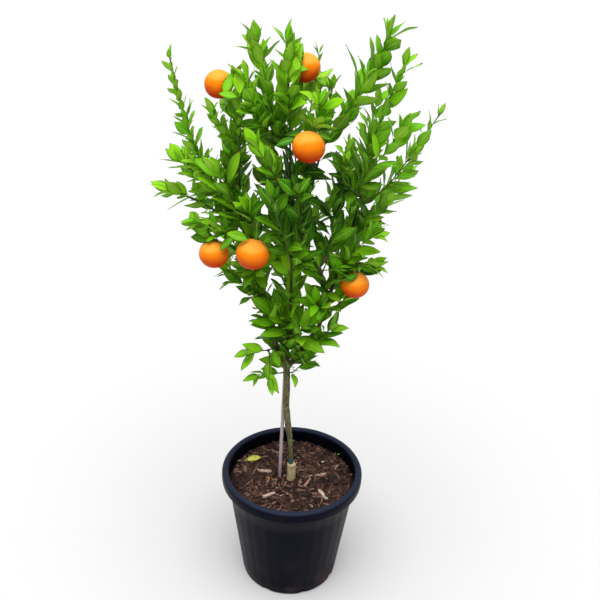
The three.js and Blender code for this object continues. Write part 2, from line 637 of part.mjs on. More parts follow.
for (const twig of twigs) {
  const first = crown(...twig.points[0]);
  const root = nearestOn(limbs[twig.limb].path, first);
  const main = new THREE.CatmullRomCurve3([root, ...twig.points.map((point) => crown(...point))]);
  twig.paths = [main];
  if (twig.side) {
    const fromMain = nearestOn(stretched(main, stepsOf(main)), crown(...twig.side[0]));
    const rest = twig.side.slice(1).map((point) => crown(...point));
    twig.paths.push(new THREE.CatmullRomCurve3([fromMain, ...rest]));
  }
}

for (const fruit of fruits) {
  fruit.middle = fruitMiddle(fruit);
}
const fruitSolids = fruits.map((fruit) => fruitSolid(fruit, 0));

// All stems come first, so that every leaf can keep clear of every stem.
for (const twig of twigs) {
  const stems = twig.paths.map((path, k) => {
    const start = k ? twigRadius * 0.75 : twigRadius;
    return roundStem(path, taper(start, twigTipRadius), twigSides, stepsOf(path));
  });
  const stalks = fruits
    .filter((fruit) => fruit.twig === twig.name)
    .map((fruit) => stalkSolid(fruit, twig.paths[0]));
  twig.stem = joined([...stems, ...stalks]).subtract(woodAndGap);
}

const obstacles = [woodAndGap, stakeSolid(clearance), ...fruitSolids];
const blades = [];

// The first way of holding a leaf that keeps it clear of everything grown so far. Leaves of one
// twig may meet at their stalks, which are left out of the test between them.
const turnTries = [0, 0.35, -0.35, 0.7, -0.7, 1.1, -1.1];
const sizeTries = [1, 0.85, 0.7];

function fittedLeaf(path, leaf, twig) {
  for (const size of sizeTries) {
    for (const turn of turnTries) {
      const { share, opening } = leaf;
      const blade = leafOn(path, share, leaf.turn + turn, opening, leaf.length * size, twig.lift);
      const whole = leafSolid(blade, clearance, 0);
      const outer = leafSolid(blade, clearance, petiole);
      const others = twigs.filter((other) => other !== twig).map((other) => other.stem);
      const blocked = [...obstacles, ...others].some((solid) => overlapping(whole, solid));
      const crossed = blades.some((grown) =>
        grown.twig === twig ? overlapping(outer, grown.outer) : overlapping(whole, grown.whole),
      );
      if (!blocked && !crossed) {
        blades.push({ twig, whole, outer });
        return blade;
      }
    }
  }
  return null;
}

twigs.forEach((twig, twigIndex) => {
  const own = [];
  twig.paths.forEach((path, pathIndex) => {
    const seed = 31 * twigIndex + 17 * pathIndex;
    for (const leaf of leavesAlong(path, twig, seed, pathIndex ? 0.15 : 0.12)) {
      const base = path.getPointAt(leaf.share);
      const nearWood = nearestOn(limbs[twig.limb].path, base).distanceTo(base) < woodMargin;
      const blade = nearWood ? null : fittedLeaf(path, leaf, twig);
      if (blade) {
        own.push(leafSolid(blade, 0, 0));
      }
    }
  });
  twig.solid = joined([twig.stem, ...own]).subtract(woodAndGap);
});

addPiece("pot", potSolid(), finishes.pot);
addPiece("potting_mix", mulchSolid(), finishes.mulch);
chips.forEach((chip, k) => addPiece(`bark_chip_${k + 1}`, chipSolid(chip, 0), finishes.chip));
addPiece("fallen_leaf", fallenLeaf(0), finishes.fallenLeaf);
addPiece("rootstock", rootstockSolid(0), finishes.rootstock);
addPiece("budding_tape", tapeSolid(), finishes.tape);
addPiece("stake", stakeSolid(0), finishes.stake);
addPiece("trunk_and_limbs", wood, finishes.bark);
fruits.forEach((fruit, k) => addPiece(fruit.name, fruitSolids[k], finishes.peel));
twigs.forEach((twig) => addPiece(`twig_${twig.name}`, twig.solid, finishes.leaf));

export default tree;
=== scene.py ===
import math
import random

import bmesh
import bpy
from mathutils import Matrix, Vector, noise


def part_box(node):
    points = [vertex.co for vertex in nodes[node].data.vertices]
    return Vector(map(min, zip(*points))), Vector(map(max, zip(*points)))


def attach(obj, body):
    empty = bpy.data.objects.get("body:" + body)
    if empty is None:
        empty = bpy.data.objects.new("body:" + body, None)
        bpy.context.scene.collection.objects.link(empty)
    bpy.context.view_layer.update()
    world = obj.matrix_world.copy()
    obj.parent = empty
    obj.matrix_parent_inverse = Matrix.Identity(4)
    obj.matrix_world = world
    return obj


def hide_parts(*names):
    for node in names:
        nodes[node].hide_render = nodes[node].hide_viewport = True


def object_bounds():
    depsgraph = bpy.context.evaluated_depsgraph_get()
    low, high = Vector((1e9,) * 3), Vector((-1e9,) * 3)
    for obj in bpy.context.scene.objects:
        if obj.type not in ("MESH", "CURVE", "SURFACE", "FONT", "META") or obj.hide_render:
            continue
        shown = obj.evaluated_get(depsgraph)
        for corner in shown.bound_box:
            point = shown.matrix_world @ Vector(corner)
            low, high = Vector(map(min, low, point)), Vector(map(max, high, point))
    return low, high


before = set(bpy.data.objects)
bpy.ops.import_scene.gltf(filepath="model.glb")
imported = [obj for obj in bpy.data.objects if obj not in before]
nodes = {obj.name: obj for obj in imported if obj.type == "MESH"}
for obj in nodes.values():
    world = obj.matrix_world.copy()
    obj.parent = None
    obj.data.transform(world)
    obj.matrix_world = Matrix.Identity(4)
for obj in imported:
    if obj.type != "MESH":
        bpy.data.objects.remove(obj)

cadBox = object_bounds()
upward = Vector((0, 0, 1))
print("frame loaded:", len(nodes), "nodes")


def named(start):
    # the frame's nodes whose names begin so, in order
    return sorted(name for name in nodes if name.startswith(start))


twigPoints = [v.co.copy() for name in named("twig_") for v in nodes[name].data.vertices]


class Value:
    # a number or colour leaving a node; sums on it add Math nodes
    def __init__(self, shader, socket):
        self.shader = shader
        self.socket = socket

    def maths(self, operation, first, second):
        return self.shader.node("ShaderNodeMath", {"operation": operation}, {0: first, 1: second})

    def __add__(self, other):
        return self.maths("ADD", self, other)

    def __radd__(self, other):
        return self.maths("ADD", other, self)

    def __sub__(self, other):
        return self.maths("SUBTRACT", self, other)

    def __rsub__(self, other):
        return self.maths("SUBTRACT", other, self)

    def __mul__(self, other):
        return self.maths("MULTIPLY", self, other)

    def __rmul__(self, other):
        return self.maths("MULTIPLY", other, self)

    def __abs__(self):
        return self.shader.node("ShaderNodeMath", {"operation": "ABSOLUTE"}, {0: self})


class Shader:
    # one material; constants go straight onto the surface's own sockets
    def __init__(self, name, **surface):
        self.material = bpy.data.materials.new(name)
        self.material.use_nodes = True
        self.tree = self.material.node_tree
        self.surface = self.tree.nodes["Principled BSDF"]
        for socket, value in surface.items():
            self.feed(socket.replace("_", " "), value)

    def feed(self, socket, value):
        if isinstance(value, Value):
            self.tree.links.new(value.socket, self.surface.inputs[socket])
        else:
            self.surface.inputs[socket].default_value = value

    def node(self, kind, settings=None, sockets=None, out=0):
        made = self.tree.nodes.new(kind)
        for key, value in (settings or {}).items():
            if key == "stops":
                self.fillRamp(made.color_ramp, value)
            else:
                setattr(made, key, value)
        for key, value in (sockets or {}).items():
            if isinstance(value, Value):
                self.tree.links.new(value.socket, made.inputs[key])
            else:
                made.inputs[key].default_value = value
        return Value(self, made.outputs[out])

    def fillRamp(self, ramp, stops):
        while len(ramp.elements) < len(stops):
            ramp.elements.new(1)
        for element, (at, colour) in zip(ramp.elements, stops):
            element.position = at
            element.color = colour

    def place(self):
        return self.node("ShaderNodeTexCoord", out="Object")

    def scaled(self, vector, factors):
        return self.node("ShaderNodeVectorMath", {"operation": "MULTIPLY"}, {0: vector, 1: factors})

    def attribute(self, name, out="Fac"):
        return self.node("ShaderNodeAttribute", {"attribute_name": name}, out=out)

    def part(self, vector, axis):
        return self.node("ShaderNodeSeparateXYZ", sockets={0: vector}, out=axis)

    def noise(self, vector, scale, detail=4.0, rough=0.55):
        return self.node("ShaderNodeTexNoise", sockets={
            "Vector": vector, "Scale": scale, "Detail": detail, "Roughness": rough}, out="Fac")

    def cells(self, vector, scale, feature="F1", out="Distance"):
        return self.node("ShaderNodeTexVoronoi", {"feature": feature},
                         {"Vector": vector, "Scale": scale}, out=out)

    def mix(self, factor, first, second):
        return self.node("ShaderNodeMix", {"data_type": "RGBA"}, {0: factor, 6: first, 7: second}, out=2)

    def ramp(self, value, stops):
        return self.node("ShaderNodeValToRGB", {"stops": stops}, {0: value})

    def between(self, value, low, high, start=0.0, end=1.0):
        return self.node("ShaderNodeMapRange", {"interpolation_type": "SMOOTHSTEP"}, {
            "Value": value, "From Min": low, "From Max": high, "To Min": start, "To Max": end})

    def ripple(self, value):
        return self.node("ShaderNodeMath", {"operation": "SINE"}, {0: value})

    def bump(self, height, distance, strength=1.0):
        self.feed("Normal", self.node("ShaderNodeBump", sockets={
            "Strength": strength, "Distance": distance, "Height": height}, out="Normal"))

    def finished(self, colour, rough, height, distance, strength):
        self.feed("Base Color", colour)
        self.feed("Roughness", rough)
        self.bump(height, distance, strength)
        return self.material


def rgb(code):
    # a colour written as its usual six figures, as linear light
    parts = [int(code[k:k + 2], 16) / 255 for k in (0, 2, 4)]
    return (*[p / 12.92 if p <= 0.04045 else ((p + 0.055) / 1.055) ** 2.4 for p in parts], 1.0)


def smoothed(mesh):
    mesh.polygons.foreach_set("use_smooth", [True] * len(mesh.polygons))
    return mesh


def meshOf(name, points, faces, smooth=True):
    made = bpy.data.meshes.new(name)
    made.from_pydata([tuple(p) for p in points], [], faces)
    made.update()
    return smoothed(made) if smooth else made


def paint(mesh, name, values, kind="FLOAT", field="value"):
    # a number or a vector for each point, which a shader can read by its name
    mesh.attributes.new(name, kind, "POINT").data.foreach_set(field, values)


def placed(name, data):
    made = bpy.data.objects.new(name, data)
    bpy.context.scene.collection.objects.link(made)
    return made


def addPiece(name, mesh, materials, replaced=()):
    piece = placed(name, mesh)
    for material in materials:
        mesh.materials.append(material)
    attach(piece, "root")
    if replaced:
        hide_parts(*replaced)
    return piece


def mergedCopy(node):
    # the node's own mesh with its split corners joined again
    bm = bmesh.new()
    bm.from_mesh(nodes[node].data)
    bmesh.ops.remove_doubles(bm, verts=bm.verts, dist=1e-6)
    return bm


rounded = ("SUBSURF", {"levels": 2, "render_levels": 2})


def evaluated(bm, *modifiers):
    # the mesh after some modifiers, each given as its type and its settings
    start = bpy.data.meshes.new("work")
    bm.to_mesh(start)
    holder = placed("work", start)
    for kind, settings in modifiers:
        made = holder.modifiers.new(kind.lower(), kind)
        for key, value in settings.items():
            setattr(made, key, value)
    graph = bpy.context.evaluated_depsgraph_get()
    result = bpy.data.meshes.new_from_object(holder.evaluated_get(graph))
    bpy.data.objects.remove(holder)
    bpy.data.meshes.remove(start)
    return result


def lathePoints(profile, sides, shape=None):
    # rings of points round the upright axis; shape may move each one
    points = []
    for index, (radius, height) in enumerate(profile):
        for k in range(sides):
            angle = math.tau * k / sides
            point = Vector((radius * math.cos(angle), radius * math.sin(angle), height))
            points.append(shape(point, index, angle) if shape else point)
    return points


def latheFaces(rings, sides):
    # the skin between the rings, closed by a cap at each end
    faces = []
    for ring in range(rings - 1):
        for k in range(sides):
            n = (k + 1) % sides
            low, high = ring * sides, (ring + 1) * sides
            faces.append((low + k, low + n, high + n, high + k))
    faces.append(tuple(reversed(range(sides))))
    faces.append(tuple(range((rings - 1) * sides, rings * sides)))
    return faces


def arc(centre, radius, start, end, count):
    # points of a round stretch of an outline, as radius and height
    turns = [math.radians(start + (end - start) * k / (count - 1)) for k in range(count)]
    return [(centre[0] + radius * math.cos(t), centre[1] + radius * math.sin(t)) for t in turns]


studio = dict(height=1.578, back=1.600, tilt=27.6, lean=2.06, turn=0.16, lens=51.0,
              floor=40.0, paper=0.548, sun=4.2, sunSize=60.0, sunFrom=(-0.04, -0.24, 1.0), sky=0.55)


def makeStudio():
    cameraData = bpy.data.cameras.new("camera")
    camera = placed("camera", cameraData)
    cameraData.sensor_width = 36
    cameraData.lens = studio["lens"]
    cameraData.clip_end = 100
    camera.location = (0, -studio["back"], studio["height"])
    turn = Matrix.Rotation(-math.radians(studio["turn"]), 4, "Z")
    tilt = Matrix.Rotation(math.radians(90 - studio["tilt"]), 4, "X")
    lean = Matrix.Rotation(math.radians(studio["lean"]), 4, "Z")
    camera.matrix_world = Matrix.Translation(camera.location) @ turn @ tilt @ lean
    bpy.context.scene.camera = camera

    half = studio["floor"] / 2
    corners = [(-half, -half, 0), (half, -half, 0), (half, half, 0), (-half, half, 0)]
    floorMesh = meshOf("floor", corners, [(0, 1, 2, 3)], smooth=False)
    floor = placed("floor", floorMesh)
    grey = studio["paper"]
    paper = Shader("floor_paper", Base_Color=(grey, grey, grey, 1), Roughness=0.9, Specular_IOR_Level=0.0)
    floorMesh.materials.append(paper.material)

    sun = bpy.data.lights.new("key", "SUN")
    sun.energy = studio["sun"]
    sun.angle = math.radians(studio["sunSize"])
    lamp = placed("key", sun)
    lamp.rotation_mode = "QUATERNION"
    lamp.rotation_quaternion = Vector(studio["sunFrom"]).to_track_quat("Z", "Y")

    world = bpy.data.worlds.new("studio")
    bpy.context.scene.world = world
    world.use_nodes = True
    sky = world.node_tree.nodes["Background"].inputs
    sky["Color"].default_value = (1, 1, 1, 1)
    sky["Strength"].default_value = studio["sky"]
    bpy.context.scene.view_settings.view_transform = "Standard"
    print("studio made")


# the CAD leaf: a wedge with these proportions, read back from each twig's own mesh
wedge = dict(width=0.42, belly=0.45, fold=0.0022, droop=0.06)
sameLength, sameReach, narrowest = 2e-5, 5e-5, 0.005      # how a wedge is told from a stem's faces

# a grown leaf; widths, droop and the rest are shares of its length, and pairs are drawn for each leaf
blade = dict(petiole=0.10, petioleWidth=0.0009, tipWidth=0.0002, thickness=0.0005, fullness=1.04,
             widths=(0.92, 1.1), folds=(0.05, 0.36), droops=(-0.08, 0.14), arches=(-0.01, 0.05),
             sways=(-0.05, 0.05), waves=(0.0, 0.035), waveTurn=9, twists=(-0.5, 0.5), foldIn=0.15,
             rimThickness=0.5, ribThickness=0.9, baseCurve=0.80, tipCurve=1.05, columns=5,
             stations=(0.0, 0.07, 0.17, 0.29, 0.42, 0.55, 0.68, 0.8, 0.91, 1.0))


def wedgesIn(bm):
    # every leaf of a twig as base, direction, facing and length, and its own three corners
    found = []
    for face in bm.faces:
        if len(face.verts) != 3:
            continue
        for k in range(3):
            tip, left, right = (face.verts[(k + j) % 3] for j in range(3))
            width = (left.co - right.co).length
            middle = (left.co + right.co) / 2
            length = width / wedge["width"]
            fall = wedge["fold"] + wedge["droop"] * length
            reach = math.hypot(length * (1 - wedge["belly"]), fall)
            even = abs((tip.co - left.co).length - (tip.co - right.co).length) < sameLength
            if width < narrowest or not even or abs((tip.co - middle).length - reach) > sameReach:
                continue
            slant = (tip.co - middle).normalized()
            angle = math.atan2(fall, length * (1 - wedge["belly"]))
            direction = slant * math.cos(angle) + face.normal * math.sin(angle)
            facing = face.normal * math.cos(angle) - slant * math.sin(angle)
            base = middle - direction * length * wedge["belly"] - facing * wedge["fold"]
            leaf = dict(base=base, direction=direction, facing=facing, length=length)
            found.append((leaf, {tip, left, right}))
            break
    return found


def widthAt(share):
    a, b = blade["baseCurve"], blade["tipCurve"]
    peak = a / (a + b)
    return (share ** a) * ((1 - share) ** b) / ((peak ** a) * ((1 - peak) ** b))


class Foliage:
    # many leaves in one mesh; a face's kind is 0 on top of a leaf, 1 underneath and 2 on a stem
    def __init__(self):
        self.points = []
        self.faces = []
        self.kinds = []
        self.places = []
        self.tones = []

    def addLeaf(self, leaf, luck):
        length = leaf["length"]
        direction, facing = leaf["direction"], leaf["facing"]
        side = facing.cross(direction)
        halfWidth = length * wedge["width"] / 2 * blade["fullness"] * luck.uniform(*blade["widths"])
        foldUp = luck.uniform(*blade["folds"])
        droop = leaf.get("droop", luck.uniform(*blade["droops"]))
        arch = luck.uniform(*blade["arches"])
        sway = luck.uniform(*blade["sways"])
        waves = luck.uniform(*blade["waves"])
        phase = luck.uniform(0, math.tau)
        twist = luck.uniform(*blade["twists"])
        columns = blade["columns"]
        petiole = blade["petiole"]
        rows = [(0.0, 0.0)] + [(petiole + (1 - petiole) * s, s) for s in blade["stations"]]
        top, bottom = {}, {}
        for row, (along, share) in enumerate(rows):
            atTip = row == len(rows) - 1
            half = max(halfWidth * widthAt(share), blade["tipWidth" if atTip else "petioleWidth"])
            for column in range(columns):
                across = 2 * column / (columns - 1) - 1
                lift = abs(across) * half * foldUp - length * droop * along ** 2
                lift += length * arch * math.sin(math.pi * along)
                ripple = math.sin(blade["waveTurn"] * along + phase + across)
                lift += length * waves * abs(across) ** 2 * ripple
                turned = side + facing * twist * along
                point = leaf["base"] + direction * length * along + facing * lift
                shift = turned * across * half * (1 - blade["foldIn"] * foldUp)
                point += shift + side * length * sway * along ** 2
                swell = blade["rimThickness"] + blade["ribThickness"] * (1 - abs(across)) ** 2
                thick = blade["thickness"] * swell
                rim = row == 0 or atTip or column in (0, columns - 1)
                top[row, column] = len(self.points)
                self.points.append(point + (Vector() if rim else facing * thick / 2))
                self.places.append((across, share, leaf["luck"]))
                self.tones.append(leaf["tone"])
                if rim:
                    bottom[row, column] = top[row, column]
                else:
                    bottom[row, column] = len(self.points)
                    self.points.append(point - facing * thick / 2)
                    self.places.append((across, share, leaf["luck"]))
                    self.tones.append(leaf["tone"])
        for row in range(len(rows) - 1):
            for column in range(columns - 1):
                corners = ((row, column), (row + 1, column), (row + 1, column + 1), (row, column + 1))
                self.faces.append(tuple(top[c] for c in corners))
                self.kinds.append(0)
                self.faces.append(tuple(bottom[c] for c in reversed(corners)))
                self.kinds.append(1)

    def addMesh(self, mesh, kind):
        start = len(self.points)
        self.points += [v.co.copy() for v in mesh.vertices]
        self.places += [(0.0, 0.0, 0.5)] * len(mesh.vertices)
        self.tones += [0.5] * len(mesh.vertices)
        for polygon in mesh.polygons:
            self.faces.append(tuple(start + v for v in polygon.vertices))
            self.kinds.append(kind)

    def toMesh(self, name):
        made = meshOf(name, self.points, self.faces)
        made.polygons.foreach_set("material_index", self.kinds)
        paint(made, "leafPlace", [x for p in self.places for x in p], "FLOAT_VECTOR", "vector")
        paint(made, "leafTone", self.tones)
        return made


class Room:
    # which spots of the crown are taken, so that added leaves find free air
    def __init__(self, cell):
        self.cell = cell
        self.spots = {}

    def key(self, point):
        return tuple(int(math.floor(c / self.cell)) for c in point)

    def add(self, point):
        self.spots.setdefault(self.key(point), []).append(Vector(point))

    def free(self, point, gap):
        x, y, z = self.key(point)
        for dx in (-1, 0, 1):
            for dy in (-1, 0, 1):
                for dz in (-1, 0, 1):
                    for spot in self.spots.get((x + dx, y + dy, z + dz), ()):
                        if (spot - point).length < gap:
                            return False
        return True


# where on a leaf its free air is tested, as shares of its length and half width
probes = ((0.3, 0), (0.5, -0.7), (0.5, 0.7), (0.55, 0), (0.78, -0.3), (0.78, 0.3), (1.0, 0))


def leafSpots(leaf):
    side = leaf["facing"].cross(leaf["direction"])
    half = leaf["length"] * wedge["width"] / 2
    for along, across in probes:
        yield leaf["base"] + leaf["direction"] * leaf["length"] * along + side * half * across


# the crown: leaves added along the twigs and limbs, and the tone each leaf has by where it grows, which
# paints shade in the crown's core and light at its edge
crown = dict(addedShare=1.1, addedGap=0.0075, shrink=(0.72, 1.08), tries=16, seed=41, cell=0.02,
             stemEdge=0.02, stemSwell=0.0002, stemCrease=0.03, fruitAir=0.003,
             axisAside=0.016, axisRise=0.34, core=(0.03, 0.0, 0.42), coreReach=(0.17, 0.30, 0.14),
             inner=0.45, outer=1.2, toneLuck=0.25, toneAt=0.6,
             lowTone=0.62, lowUnder=0.28, lowReach=0.12, lowShare=0.3, fullFrom=0.2,
             fruitLeaf=(0.040, 0.058), fruitLeaves=3, fruitRounds=3, fruitGap=0.004,
             limbLeaves=210, limbTries=6, limbBand=(0.0, 0.41), limbLeaf=(0.042, 0.066), limbGap=0.0055,
             yaw=0.24, pitch=(-0.26, 0.2), spread=(0.84, 1.16))

# an added leaf: where along its stem, how it leaves the stem (radians), and what its upper side turns to
growth = dict(along=(0.05, 0.95), around=(-0.7, 0.7), opening=(0.5, 1.0), rise=0.12, sink=0.0006,
              faceAlong=0.4, faceUp=0.7, faceStem=0.25, faceSun=0.7, sunReach=0.11, sway=(-0.3, 0.3))

# twigs that differ from the rest: leaves added for each of their own, and the size of all of them
habit = dict(
    far_left=(3.5, 1.2), upper_left=(2.0, 1.05), left_upright=(2.5, 1.1), left_front_high=(1.6, 1.1),
    top_left=(2.0, 1.15), top_middle=(1.6, 1.1), top_right=(1.4, 1.1), right_high=(1.2, 1.05),
    top_between=(0.2, 0.7), back_crown_right=(0.0, 0.6), trunk_left=(0.0, 0.75), low_left=(0.3, 0.8))


def axisPoint():
    # the middle of the crown, at the height of the fork
    low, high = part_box("trunk_and_limbs")
    foot = min((v.co for v in nodes["trunk_and_limbs"].data.vertices), key=lambda p: p.z)
    return Vector((foot.x - crown["axisAside"], foot.y, low.z + (high.z - low.z) * crown["axisRise"]))


def toneOf(point, axis, luck):
    # painted shade: 0 is a leaf in the crown's core, painted dark for the shade there and partly for its age,
    # 1 a young, lit one at its edge
    offset = point - axis - Vector(crown["core"])
    away = Vector((part / reach for part, reach in zip(offset, crown["coreReach"]))).length
    share = min(1, max(0, (away - crown["inner"]) / (crown["outer"] - crown["inner"])))
    aside = math.hypot(point.x - axis.x, point.y - axis.y)
    # painted shade: low leaves near the trunk, under the rest of the crown, are held darker
    if point.z - axis.z < crown["lowUnder"] and aside < crown["lowReach"]:
        share = min(share, crown["lowTone"])
    return min(1, max(0, share + luck.uniform(-crown["toneLuck"], crown["toneLuck"])))


def stemLines(bm):
    # the long edges of a stem, each with its outward way at both ends
    lines = []
    for edge in bm.edges:
        a, b = edge.verts
        if edge.calc_length() > crown["stemEdge"]:
            lines.append((a.co.copy(), b.co.copy(), a.normal.copy(), b.normal.copy()))
    return lines


def addedLeaf(line, forward, axis, length, luck):
    a, b, outA, outB = line
    share = luck.uniform(*growth["along"])
    along = (b - a).normalized()
    if along.dot(forward) < 0:
        along.negate()
    outward = outA.lerp(outB, share)
    outward -= along * outward.dot(along)
    outward.normalize()
    outward.rotate(Matrix.Rotation(luck.uniform(*growth["around"]), 3, along))
    opening = luck.uniform(*growth["opening"])
    direction = along * math.cos(opening) + outward * math.sin(opening) + upward * growth["rise"]
    direction.normalize()
    base = a.lerp(b, share) - outward * growth["sink"]
    sunward = Vector((base.x - axis.x, base.y - axis.y, 0)) / growth["sunReach"]
    sunward *= min(1, 1 / max(sunward.length, 1e-6))
    facing = along * growth["faceAlong"] + upward * growth["faceUp"]
    facing = facing - outward * growth["faceStem"] + sunward * growth["faceSun"]
    facing += Vector((luck.uniform(*growth["sway"]), luck.uniform(*growth["sway"]), 0))
    facing -= direction * facing.dot(direction)
    facing.normalize()
    return dict(base=base, direction=direction, facing=facing, length=length)


class Keeper:
    # says whether a leaf has free air, and remembers the ones that were let in
    def __init__(self, room, balls):
        self.room = room
        self.balls = balls

    def admit(self, leaf, gap):
        spots = list(leafSpots(leaf))
        clear = all(self.room.free(spot, gap) for spot in spots)
        inside = all(cadBox[0][i] < spot[i] < cadBox[1][i] for spot in spots for i in range(3))
        apart = all((spot - middle).length > reach + crown["fruitAir"]
                    for spot in spots for middle, reach in self.balls)
        if clear and inside and apart:
            for spot in spots:
                self.room.add(spot)
            return True
        return False


def readTwigs(room):
    # each twig's bare stem, the leaves its mesh holds, and the share of leaves to add
    grown = {}
    for name in named("twig_"):
        bm = mergedCopy(name)
        wedges = wedgesIn(bm)
        corners = set().union(*(group for leaf, group in wedges))
        gone = [face for face in bm.faces if corners & set(face.verts)]
        bmesh.ops.delete(bm, geom=gone, context="FACES")
        loose = [vert for vert in bm.verts if not vert.link_faces]
        bmesh.ops.delete(bm, geom=loose, context="VERTS")
        bmesh.ops.holes_fill(bm, edges=[e for e in bm.edges if e.is_boundary], sides=0)
        bmesh.ops.dissolve_limit(bm, angle_limit=crown["stemCrease"], verts=bm.verts, edges=bm.edges)
        bmesh.ops.recalc_face_normals(bm, faces=bm.faces)
        bm.normal_update()
        leaves = [leaf for leaf, group in wedges]
        share, scale = habit.get(name.removeprefix("twig_"), (crown["addedShare"], 1.0))
        for leaf in leaves:
            leaf["length"] *= scale
            for spot in leafSpots(leaf):
                room.add(spot)
        grown[name] = (bm, leaves, share)
    print("leaves read from the frame:", sum(len(leaves) for bm, leaves, share in grown.values()))
    return grown


def growLeaves(bm, leaves, share, keeper, axis, luck):
    # smaller leaves along one twig's stem, where the air is free; fewer low in the crown
    lines = stemLines(bm)
    forward = sum((leaf["direction"] for leaf in leaves), Vector()).normalized()
    rise = sum(leaf["base"].z for leaf in leaves) / len(leaves) - axis.z
    share *= min(1, max(crown["lowShare"], rise / crown["fullFrom"]))
    extra = []
    for k in range(int(len(leaves) * share) if lines else 0):
        for attempt in range(crown["tries"]):
            line = luck.choice(lines)
            near = min(leaves, key=lambda leaf: (leaf["base"] - line[0]).length)
            length = near["length"] * luck.uniform(*crown["shrink"])
            leaf = addedLeaf(line, forward, axis, length, luck)
            if keeper.admit(leaf, crown["addedGap"]):
                extra.append(leaf)
                break
    return extra


def sproutLimbs(bm, keeper, axis, luck):
    # leaves that sprout straight from the lower limbs
    lowest, highest = crown["limbBand"]
    limbs = [line for line in stemLines(bm)
             if lowest < (line[0].z + line[1].z) / 2 - axis.z < highest]
    foliage = Foliage()
    sprouted = 0
    for attempt in range(crown["limbLeaves"] * crown["limbTries"]):
        leaf = addedLeaf(luck.choice(limbs), upward, axis, luck.uniform(*crown["limbLeaf"]), luck)
        if sprouted < crown["limbLeaves"] and keeper.admit(leaf, crown["limbGap"]):
            sprouted += 1
            finishLeaf(foliage, leaf, axis, luck)
    print("leaves added on the limbs:", sprouted)
    return foliage


def makeTwigs(shaders):
    luck = random.Random(crown["seed"])
    room = Room(crown["cell"])
    fruits = [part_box(name) for name in named("mandarin")]
    balls = [((low + high) / 2, (high - low).length / 2 / math.sqrt(3)) for low, high in fruits]
    woodBm = mergedCopy("trunk_and_limbs")
    for vert in woodBm.verts:
        room.add(vert.co)
    grown = readTwigs(room)
    keeper = Keeper(room, balls)
    axis = axisPoint()
    added = 0
    for name, (bm, leaves, share) in grown.items():
        extra = growLeaves(bm, leaves, share, keeper, axis, luck)
        added += len(extra)
        foliage = Foliage()
        for leaf in leaves + extra:
            finishLeaf(foliage, leaf, axis, luck)
        for vert in bm.verts:
            vert.co += vert.normal * crown["stemSwell"]
        foliage.addMesh(evaluated(bm, rounded), 2)
        bm.free()
        addPiece(name + "_grown", foliage.toMesh(name + "_grown"), shaders, [name])
    print("leaves added in free air:", added)
    addPiece("limb_leaves", sproutLimbs(woodBm, keeper, axis, luck).toMesh("limb_leaves"), shaders)
    addPiece("fruit_leaves", fruitLeaves(keeper, axis, luck).toMesh("fruit_leaves"), shaders)
    woodBm.free()


# leaves that lie across a fruit or stand behind it: how far in front, then base and tip across and up
# the way the fruit is looked at, all in fruit radii, and the tone, which sets the leaf's painted shade
fruitCover = dict(
    mandarin_1=[(1.15, 0.5, -1.2, 1.35, 0.75, 0.9),
                (1.15, 1.6, -1.2, 0.05, -0.9, 0.8),
                (1.0, 1.7, -1.1, 1.2, 1.0, 1.0)],
    mandarin_2=[(1.15, -0.9, -1.7, -0.55, 1.0, 0.8),
                (1.2, -1.1, -0.5, 0.2, -0.1, 0.6),
                (1.1, -1.5, -1.4, -1.0, 1.4, 0.9)],
    mandarin_3=[(0.15, -0.8, 0.5, -2.3, 0.05, 0.0),
                (0.15, 0.3, 0.9, 1.75, 0.6, 0.25),
                (0.0, 0.2, 0.9, 1.9, 1.6, 0.3)],
    mandarin_4=[(1.1, 1.6, 1.3, 0.45, 0.2, 0.5),
                (0.5, 0.3, 1.0, -1.8, 1.25, 0.35),
                (0.4, -0.1, 1.1, -1.4, 2.1, 0.35)],
    mandarin_5=[(0.4, 0.2, 0.8, 0.5, 2.3, 0.3),
                (0.9, -0.2, 0.85, -1.6, 0.9, 0.5),
                (0.6, 0.6, 0.7, 1.9, 1.3, 0.4)],
    mandarin_6=[(1.05, 0.2, 0.8, -1.1, 0.35, 0.15),
                (0.2, 0.1, 0.85, 2.3, 1.15, 0.1),
                (0.8, -0.9, 0.5, -1.9, 2.2, 0.9)])
cover = dict(faceAhead=0.8, faceUp=0.45, droop=0.05)

# leaves that arch out of a stalk over its fruit's shoulder
shoulder = dict(outward=0.86, up=0.5, above=0.006, droop=0.22, roundTurn=0.5)


def coverLeaves(name, middle, radius):
    # the listed leaves of one fruit, laid in the plane that faces the viewer
    tilt = math.radians(studio["tilt"])
    ahead = Vector((0, -math.cos(tilt), math.sin(tilt)))
    rise = Vector((0, math.sin(tilt), math.cos(tilt)))
    for front, baseAcross, baseUp, tipAcross, tipUp, tone in fruitCover[name]:
        way = Vector((tipAcross - baseAcross, 0, 0)) + rise * (tipUp - baseUp)
        facing = ahead * cover["faceAhead"] + upward * cover["faceUp"]
        direction = way.normalized()
        facing = (facing - direction * facing.dot(direction)).normalized()
        base = middle + (Vector((baseAcross, 0, 0)) + rise * baseUp + ahead * front) * radius
        yield dict(base=base, direction=direction, facing=facing, length=way.length * radius,
                   tone=tone, droop=cover["droop"])


def fruitLeaves(keeper, axis, luck):
    foliage = Foliage()
    for name in named("mandarin"):
        middle, stalk = fruitAxis(name)
        for leaf in coverLeaves(name, middle, stalk.length):
            finishLeaf(foliage, leaf, axis, luck)
        way = stalk.normalized()
        sideways = stalk.orthogonal().normalized()
        start = luck.uniform(0, math.tau)
        each = crown["fruitLeaves"]
        for k in range(crown["fruitRounds"] * each):
            turn = start + math.tau * k / each + shoulder["roundTurn"] * (k // each)
            outward = Matrix.Rotation(turn, 3, stalk) @ sideways
            direction = (outward * shoulder["outward"] + way * shoulder["up"]).normalized()
            facing = (way - direction * way.dot(direction)).normalized()
            leaf = dict(base=middle + stalk + way * shoulder["above"], direction=direction, facing=facing,
                        droop=shoulder["droop"], length=luck.uniform(*crown["fruitLeaf"]))
            if keeper.admit(leaf, crown["fruitGap"]):
                finishLeaf(foliage, leaf, axis, luck)
    return foliage


